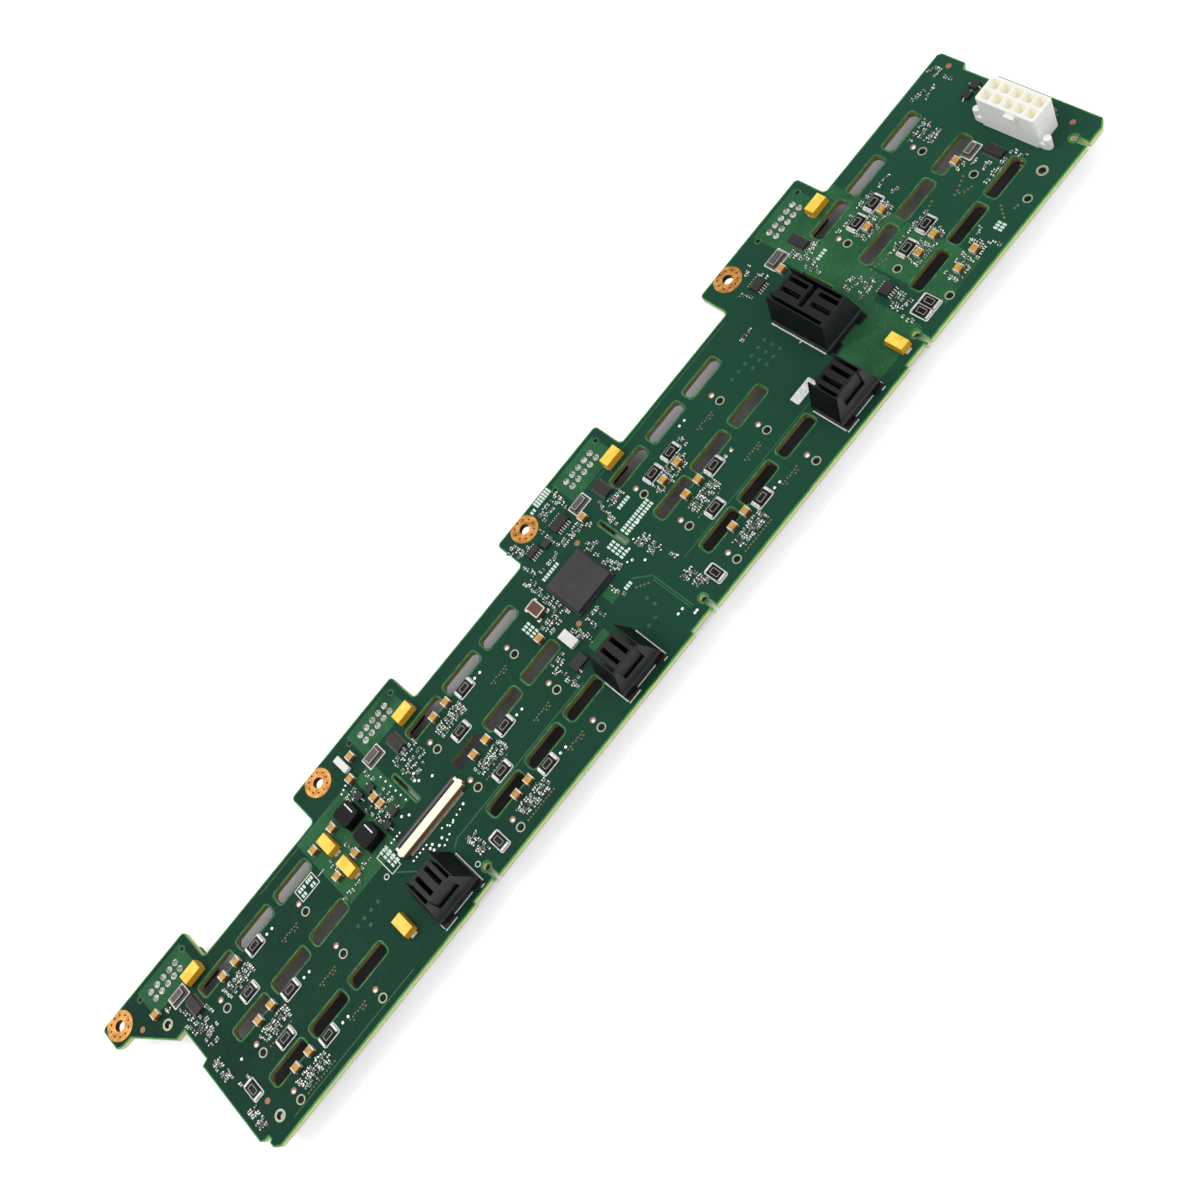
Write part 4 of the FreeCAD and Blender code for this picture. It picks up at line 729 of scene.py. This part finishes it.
glaze = mottled("black_overglaze", (5, 4, 5), (16, 14, 16), 900.0, 3.0, (0.4, 0.7), 0.1, roughness=0.45,
                specular=0.15)
glaze.dress("wide_resistors")
END_INSET = 0.28
ends, frames = [], []
for low, high in part_boxes("wide_resistors"):
    middle, span = (low + high) / 2, high - low
    turn = 90.0 if span[1] > span[0] else 0.0
    frames.append((middle[0], middle[1], turn))
    for side in (-1, 1):
        shift = side * (span.max() / 2 - END_INSET)
        ends.append((middle[0] + (0 if turn else shift), middle[1] + (shift if turn else 0), turn))
glaze_top = float(high[2])
end_metal = mottled("resistor_end", (176, 174, 170), (222, 220, 216), 1100.0, 2.0, (0.3, 0.7), roughness=0.45,
                    metallic=0.3)
mark_grey = mottled("resistor_mark", (138, 134, 130), (190, 186, 180), 900.0, roughness=0.6, specular=0.2)
raise_outlines("resistor_ends", ends, (0.74, 3.26, 0.08), plate(0.8, 0.06, 0.86), end_metal, steps=1)
raise_outlines("resistor_marks", frames, (3.3, 2.0, 0.3), band(0.02, 0.17, 0.03, 0.02), mark_grey,
               base=glaze_top)
raise_outlines("resistor_frames", frames, (7.2, 4.4, 0.7), band(0.05, 0.4, 0.06, 0.02), ink)


# Ceramic capacitors: tan ceramic blocks, fired from many thin layers, whose ends are dipped in silver and tinned.
# Their sides are painted darker than their tops as painted shade.

tan = Finish("tan_ceramic", roughness=0.45, specular=0.4)
tan_top = tan.blend(tan.noise(700.0, 3.0).between(0.3, 0.7), (164, 114, 42), (210, 162, 72))
# Painted shade: faces that do not face up are painted brown.
tan.finish(tan.blend(tan.facing(2) < 0.5, tan_top, (112, 74, 34)))
tan.dress("ceramic_capacitors")
DIP = 0.12
caps = [((low + high) / 2, high - low) for low, high in part_boxes("ceramic_capacitors")]
cap_ends = [(middle[0] + side * (span[0] / 2 - DIP), middle[1]) for middle, span in caps for side in (-1, 1)]
raise_outlines("ceramic_ends", cap_ends, (0.4, 2.48, 0.08), plate(1.58, 0.05, 1.64), end_metal, steps=1)


# The smallest chip parts: resistors and capacitors about a millimetre long, each a dark or tan body between two
# tinned ends. Every bay has the same group below its ceramic capacitors, and other rows stand by the connectors.

bay = [(-2.6, -3.6, 90), (-1.3, -3.4, 0), (0.1, -3.2, 0), (1.5, -3.6, 90), (2.7, -3.8, 90), (-2.4, -5.2, 90),
       (-1.0, -5.0, 90), (0.3, -4.8, 90), (1.6, -5.3, 0), (2.9, -5.6, 90), (-1.9, -6.8, 0), (-0.4, -6.6, 90),
       (0.9, -6.6, 0), (2.3, -7.0, 90)]
beside = [(-3.0, 1.4, 90), (-3.1, -0.2, 0), (-3.2, -1.6, 90), (2.5, 1.4, 90), (3.1, 0.2, 0), (2.6, -1.2, 90),
          (-1.8, -2.3, 0), (0.4, -2.4, 0), (1.9, -2.5, 0), (-2.9, 2.7, 0), (2.2, 2.7, 0)]
bay_places = [(-167.4, 15.0), (-161.3, 15.0), (-167.5, -5.8), (-161.4, -5.8), (-167.7, -26.9), (-161.5, -26.9),
              (-62.9, 15.0), (-56.8, 15.0), (-63.1, -5.8), (-57.0, -5.8), (-63.2, -26.8), (-57.4, -26.8),
              (41.2, -6.2), (47.3, -6.2), (41.2, -26.8), (47.2, -26.8)]
beside_places = [(40.9, 4.0), (48.1, 4.1), (144.6, 4.2), (152.1, 4.2), (144.7, -16.8), (152.2, -16.8),
                 (145.9, -31.6), (153.7, -31.6)]
star = [(-1.6, 0.9, 0), (-0.2, 1.2, 90), (1.3, 0.8, 0), (-0.9, 0.0, 90), (0.6, 0.1, 90), (-1.5, -0.9, 0),
        (0.2, -1.1, 0), (1.2, -1.5, 90)]
stars = [(-186.0, -3.8), (-186.0, -9.0), (-186.4, -24.8), (-186.6, -29.4), (-82.0, -24.5), (-82.0, -29.0),
         (22.0, -4.0), (22.0, -8.8), (22.0, -24.6), (22.2, -29.4)]
groups = ((bay, bay_places), (beside, beside_places), (star, stars))
small_parts = [(x + dx, y + dy, turn) for group, places in groups for x, y in places for dx, dy, turn in group]


def row_parts(*rows):
    """Small parts in straight rows: start x and y, count, the step in x and y, and the turn of each part."""
    return [(x + step_x * n, y + step_y * n, turn) for x, y, count, step_x, step_y, turn in rows
            for n in range(count)]


small_parts += row_parts(
    (-184.6, 20.0, 5, 0.1, -1.5, 0), (-177.6, 13.6, 3, 0.2, -1.6, 90), (-186.2, 14.0, 4, 0.2, -1.5, 90),
    (-184.4, 12.2, 3, 1.5, 0, 90), (-184.0, 10.2, 4, 1.5, 0, 90), (-184.0, 8.0, 3, 1.4, 0.2, 0),
    (-183.0, 6.3, 4, 1.4, 0, 90), (-184.0, 4.9, 3, 1.3, 0.1, 0), (-183.6, 2.4, 3, 1.1, 0, 90),
    (-188.4, 24.6, 2, 0, -1.5, 0), (-184.0, -15.0, 2, 2.8, 0, 90),
    # beside the flat-cable connector, the inductors and the second tab
    (-98.8, 12.6, 6, 1.7, 0.1, 90), (-98.0, 10.4, 5, 1.9, 0, 0), (-98.4, 8.2, 6, 1.6, 0.1, 90),
    (-97.8, 5.8, 4, 2.0, 0, 0), (-81.8, 16.6, 6, 1.8, -0.1, 90), (-81.4, 14.4, 5, 2.0, 0, 0),
    (-81.6, 12.0, 6, 1.8, 0, 90), (-81.0, 9.6, 5, 1.9, 0, 0), (-81.4, 7.2, 4, 1.9, 0, 90),
    (-101.0, 22.0, 4, 1.5, 0, 90), (-101.0, 19.8, 3, 1.6, 0, 0), (-94.8, 33.0, 3, 0, -1.8, 0),
    (-90.4, 22.6, 3, 0, -1.7, 90), (-112.0, 20.4, 2, 2.6, 0, 0), (-112.4, 0.6, 3, 1.9, 0, 90),
    (-118.6, 11.2, 4, 0, -1.7, 0), (-110.8, 11.0, 3, 0.1, -1.7, 0), (-122.0, -2.0, 5, 1.6, 0, 90),
    # round the controller
    (-11.6, 20.4, 5, 0, -1.7, 90), (-10.2, 18.8, 4, 0, -1.7, 0), (-11.8, 11.6, 6, 0, -1.7, 90),
    (-10.4, 10.2, 6, 0.1, -1.9, 0), (-18.8, 4.6, 5, 1.5, 0, 90), (-18.6, 2.8, 4, 1.6, 0, 0),
    (-18.4, 1.0, 4, 1.5, 0, 90), (-13.8, -4.4, 4, 0.1, -1.8, 0), (-12.4, -6.4, 4, 0.1, -1.8, 90),
    (-26.2, -7.4, 4, 1.6, 0, 90), (-27.4, -9.6, 4, 1.5, 0.1, 0), (-26.0, -11.2, 3, 0, -1.7, 90),
    (-27.2, -14.4, 4, 0.3, -1.5, 0), (-25.4, -17.0, 3, 1.6, 0.1, 90), (-7.8, -6.6, 4, 1.4, 0.1, 90),
    (-8.4, -9.0, 2, 0, -1.6, 0), (-4.2, -7.2, 3, 0.2, -1.6, 0), (4.2, -5.6, 4, 0.2, -1.7, 90),
    (-7.4, 33.6, 3, 1.7, 0, 90), (-7.0, 31.4, 3, 1.6, 0, 0), (-6.6, 29.2, 4, 1.5, 0, 90),
    (-7.6, 24.6, 4, 0, -1.6, 0), (4.8, 29.6, 6, 0, -1.8, 90), (8.4, 33.4, 6, 1.6, 0, 90),
    (8.6, 31.2, 6, 1.6, 0, 90), (15.8, 30.6, 3, 0.2, -1.6, 0), (17.4, 33.8, 3, 0.1, -1.7, 0),
    (6.2, 19.6, 6, 1.5, 0, 90), (6.0, 17.8, 5, 1.6, 0, 0), (-5.8, 18.6, 6, 1.6, 0, 90),
    (14.2, 17.8, 3, 0.9, -1.4, 0), (9.4, 10.4, 4, 0.1, -1.7, 0), (11.0, 11.6, 3, 0.9, -1.4, 90),
    (9.0, 2.6, 5, 0.2, -1.6, 0), (10.6, 1.8, 4, 0.4, -1.7, 90), (23.6, 18.2, 3, -0.6, -1.6, 90),
    (26.2, 15.4, 4, 1.3, -0.2, 90), (25.0, 13.6, 5, 1.3, 0, 0), (22.6, 13.0, 4, -0.3, -1.6, 90),
    (20.6, 10.2, 3, 0.8, 0.9, 0), (23.6, -15.6, 2, 0.8, 0, 90), (23.6, -17.2, 2, 0.8, 0, 90),
    (54.8, 9.6, 3, 0, -1.6, 0), (58.4, -8.4, 2, 2.6, 0, 0), (93.4, 14.8, 4, 1.3, 0, 90),
    # beside the double connector and in the last bay
    (124.6, 22.4, 5, 0.3, -1.6, 0), (126.4, 21.6, 6, 0.2, -1.7, 90), (128.8, 17.4, 4, 1.3, 0, 90),
    (129.0, 15.6, 4, 1.3, 0.1, 0), (124.4, 13.2, 4, 0.2, -1.6, 90), (126.2, 11.8, 2, 0.2, -1.6, 0),
    (124.6, -2.8, 3, 1.9, -0.2, 0), (124.2, -4.8, 4, 1.6, -0.3, 90), (123.8, -9.0, 6, 1.4, 0.1, 90),
    (124.4, -10.8, 4, 1.8, 0, 0), (126.0, -20.6, 5, 1.4, 0, 90), (126.2, -22.4, 4, 1.5, 0, 0),
    (126.8, -24.4, 4, 1.3, -0.2, 90), (124.4, -26.8, 3, 0.1, -1.8, 0), (112.2, 30.0, 3, 1.5, 0.6, 90),
    (106.2, 26.2, 3, 0.1, -1.6, 90), (114.6, 26.4, 3, 0.1, -1.7, 0), (140.2, 12.0, 4, 1.9, 0, 90),
    (150.2, 12.2, 4, 1.9, 0, 90), (140.6, -8.6, 5, 1.7, 0, 0), (150.0, -8.8, 5, 1.9, 0, 90),
    (156.8, -29.0, 3, 1.9, 0.2, 0), (158.0, -33.8, 3, 0.5, -1.5, 90), (159.2, 11.0, 3, 2.3, 0, 0),
    (159.4, 5.6, 2, 1.6, 0, 90), (177.6, 12.8, 6, 1.7, 0.1, 0), (180.0, 10.8, 5, 1.4, 0.1, 90),
    (180.2, 8.2, 4, 1.4, -0.2, 90), (180.6, 6.2, 4, 1.4, 0, 0), (174.6, -8.0, 3, 1.6, 0, 90),
    (178.6, -11.4, 2, 2.2, 0, 0), (178.8, -15.6, 3, 1.5, 0, 0), (174.6, -19.4, 7, 1.7, 0, 90),
    (187.6, -19.6, 4, 0.3, -1.7, 0), (192.8, 18.6, 4, 1.6, 0.1, 0), (190.2, 22.6, 4, 1.5, -0.5, 90),
    (202.0, 24.6, 3, 0.9, -0.6, 90), (201.4, 21.2, 3, 1.0, 0, 0), (202.4, 18.2, 2, -0.4, -1.6, 90),
    (204.2, -24.2, 2, 1.2, 1.6, 0))

# Hand placing leaves each part a little off its row, and turns some of them by 90 degrees.
bodies = np.array(small_parts)
order = np.arange(len(bodies))
bodies[:, 0] += 0.28 * np.sin(order * 2.4)
bodies[:, 1] += 0.24 * np.sin(order * 3.7 + 1.0)
bodies[:, 2] += 90.0 * (np.sin(order * 5.1) > 0.62)
turns = np.radians(bodies[:, 2])
HALF_PART = 0.42
offset = np.stack([np.cos(turns), np.sin(turns)], axis=1) * HALF_PART
small_ends = np.vstack([np.column_stack([bodies[:, :2] + end, bodies[:, 2]]) for end in (offset, -offset)])
small_dark = black_mould("small_resistor_black", (20, 17, 18), (44, 38, 36), 0.45, 0.4)
small_tan = mottled("small_capacitor_tan", (92, 68, 42), (150, 118, 76), 900.0, roughness=0.5, specular=0.4)
bright_end = mottled("bright_tinned_end", (92, 98, 86), (252, 252, 248), 520.0, 1.0, (0.4, 0.56), roughness=0.4,
                     metallic=0.1, specular=0.5)
raise_outlines("small_resistors", bodies[order % 3 != 1], (0.6, 0.56, 0.02),
               [(0.0, 0.02), (0.0, 0.3), (0.05, 0.36)], small_dark, steps=1)
raise_outlines("small_capacitors", bodies[1::3], (0.6, 0.56, 0.02), [(0.0, 0.02), (0.0, 0.46), (0.05, 0.5)],
               small_tan, steps=1)
raise_outlines("small_part_ends", small_ends, (0.36, 0.64, 0.08), plate(0.38, 0.06, 0.44), bright_end, steps=1)
pale_ink = mottled("pale_cyan_ink", (112, 158, 142), (206, 226, 216), 1400.0, 2.0, (0.35, 0.65), roughness=0.6,
                   specular=0.2)
outward = np.stack([-np.sin(turns), np.cos(turns)], axis=1)
ticks = np.column_stack([bodies[:, :2] + outward * 0.62, bodies[:, 2]])[order % 9 < 6]
raise_outlines("part_ticks", ticks, (1.15, 0.2, 0.03), layer, pale_ink, steps=1)
part_vias = bodies[:, :2] + outward * (0.85 + 0.25 * np.sin(order * 1.9))[:, None] + offset * 1.9
raise_outlines("part_vias", part_vias[order % 5 < 2], disc(0.5), dome, bright_end)


# The setting: a pale floor, a soft sky and two large soft lamps, and the camera at the photograph's angle. The floor
# is darker right under the board, where it shows only through the vents, and glows for the camera outside it.

FLOOR_HALF = 6.0
corners = [(-1, -1), (1, -1), (1, 1), (-1, 1)]
floor_mesh = bpy.data.meshes.new("floor")
floor_mesh.from_pydata([(x * FLOOR_HALF, y * FLOOR_HALF, 0.0) for x, y in corners], [], [(0, 1, 2, 3)])
floor = bpy.data.objects.new("floor", floor_mesh)
bpy.context.scene.collection.objects.link(floor)
paper = Finish("pale_paper", roughness=0.9, specular=0.1)
sideways, away = paper.place(0), paper.place(1)
white_paper = paper.blend(paper.noise(30.0), (236, 236, 236), (240, 240, 240))
shaded = paper.blend(away.between(-13.0, 0.0), (112, 112, 112), (222, 222, 222))
shaded = paper.blend(away.between(12.0, 22.0), shaded, (166, 166, 166))
outside = (away.between(28.5, 34.0) | away.between(-28.5, -35.0)
           | sideways.between(203.0, 210.0) | sideways.between(-182.0, -187.0))


def seen_by(nodes):
    """1 for the camera's rays and for those that gloss or clear material sends on."""
    kinds = ("Is Camera Ray", "Is Glossy Ray", "Is Transmission Ray")
    rays = [nodes.node("ShaderNodeLightPath", {}, out=kind) for kind in kinds]
    return (rays[0] + rays[1] + rays[2]).between(0.0, 1.0)


seen = seen_by(paper)
lit = paper.blend(seen * outside, (0.0, 0.0, 0.0, 1.0), (0.5, 0.5, 0.5, 1.0))
# Painted light: a faint glow on the floor under the slits, seen through them as a lighter patch.
SLIT_Y, SLIT_REACH, SLIT_SIDE = 9.5, (4.2, 2.4), (5.0, 3.0)
left_pair_x, half_apart, right_x = -33.45, 51.75, 121.8
painted_light_below_slits = abs(away - SLIT_Y).between(*SLIT_REACH) * seen
near_slit = (abs(abs(sideways - left_pair_x) - half_apart).between(*SLIT_SIDE)
             | abs(sideways - right_x).between(*SLIT_SIDE))
lit = paper.blend(painted_light_below_slits * near_slit, lit, (0.2, 0.2, 0.2, 1.0))
paper.finish(paper.blend(outside, shaded, white_paper), glow=lit)
floor_mesh.materials.append(paper.material)

SKY_STRENGTH = 0.62
world = bpy.data.worlds.new("soft_sky")
bpy.context.scene.world = world
sky = Nodes(world)
sky.feed("Background", "Strength", seen_by(sky) | SKY_STRENGTH)
sky.tree.nodes["Background"].inputs["Color"].default_value = (1.0, 1.0, 1.0, 1.0)

for name, spot, energy, size in (("wide_lamp", (-0.5, 0.55, 1.1), 9.0, 1.0),
                                 ("front_lamp", (0.5, -0.9, 0.7), 4.0, 0.9)):
    lamp = bpy.data.lights.new(name, "AREA")
    lamp.energy, lamp.size = energy, size
    stand = bpy.data.objects.new(name, lamp)
    stand.location = spot
    aim = -np.array(spot)
    stand.rotation_euler = (float(np.arccos(-aim[2] / np.linalg.norm(aim))), 0.0,
                            float(np.arctan2(-aim[0], aim[1])))
    bpy.context.scene.collection.objects.link(stand)

lens = bpy.data.cameras.new("camera")
lens.sensor_width, lens.lens = 36.0, 45.832
lens.clip_start, lens.clip_end = 0.01, 20.0
camera = bpy.data.objects.new("camera", lens)
camera.location = (-0.01858, -0.26708, 0.40832)
camera.rotation_euler = tuple(np.radians([23.8995, 24.0904, -46.4542]).tolist())
bpy.context.scene.collection.objects.link(camera)
bpy.context.scene.camera = camera
bpy.context.scene.view_settings.view_transform = "Standard"
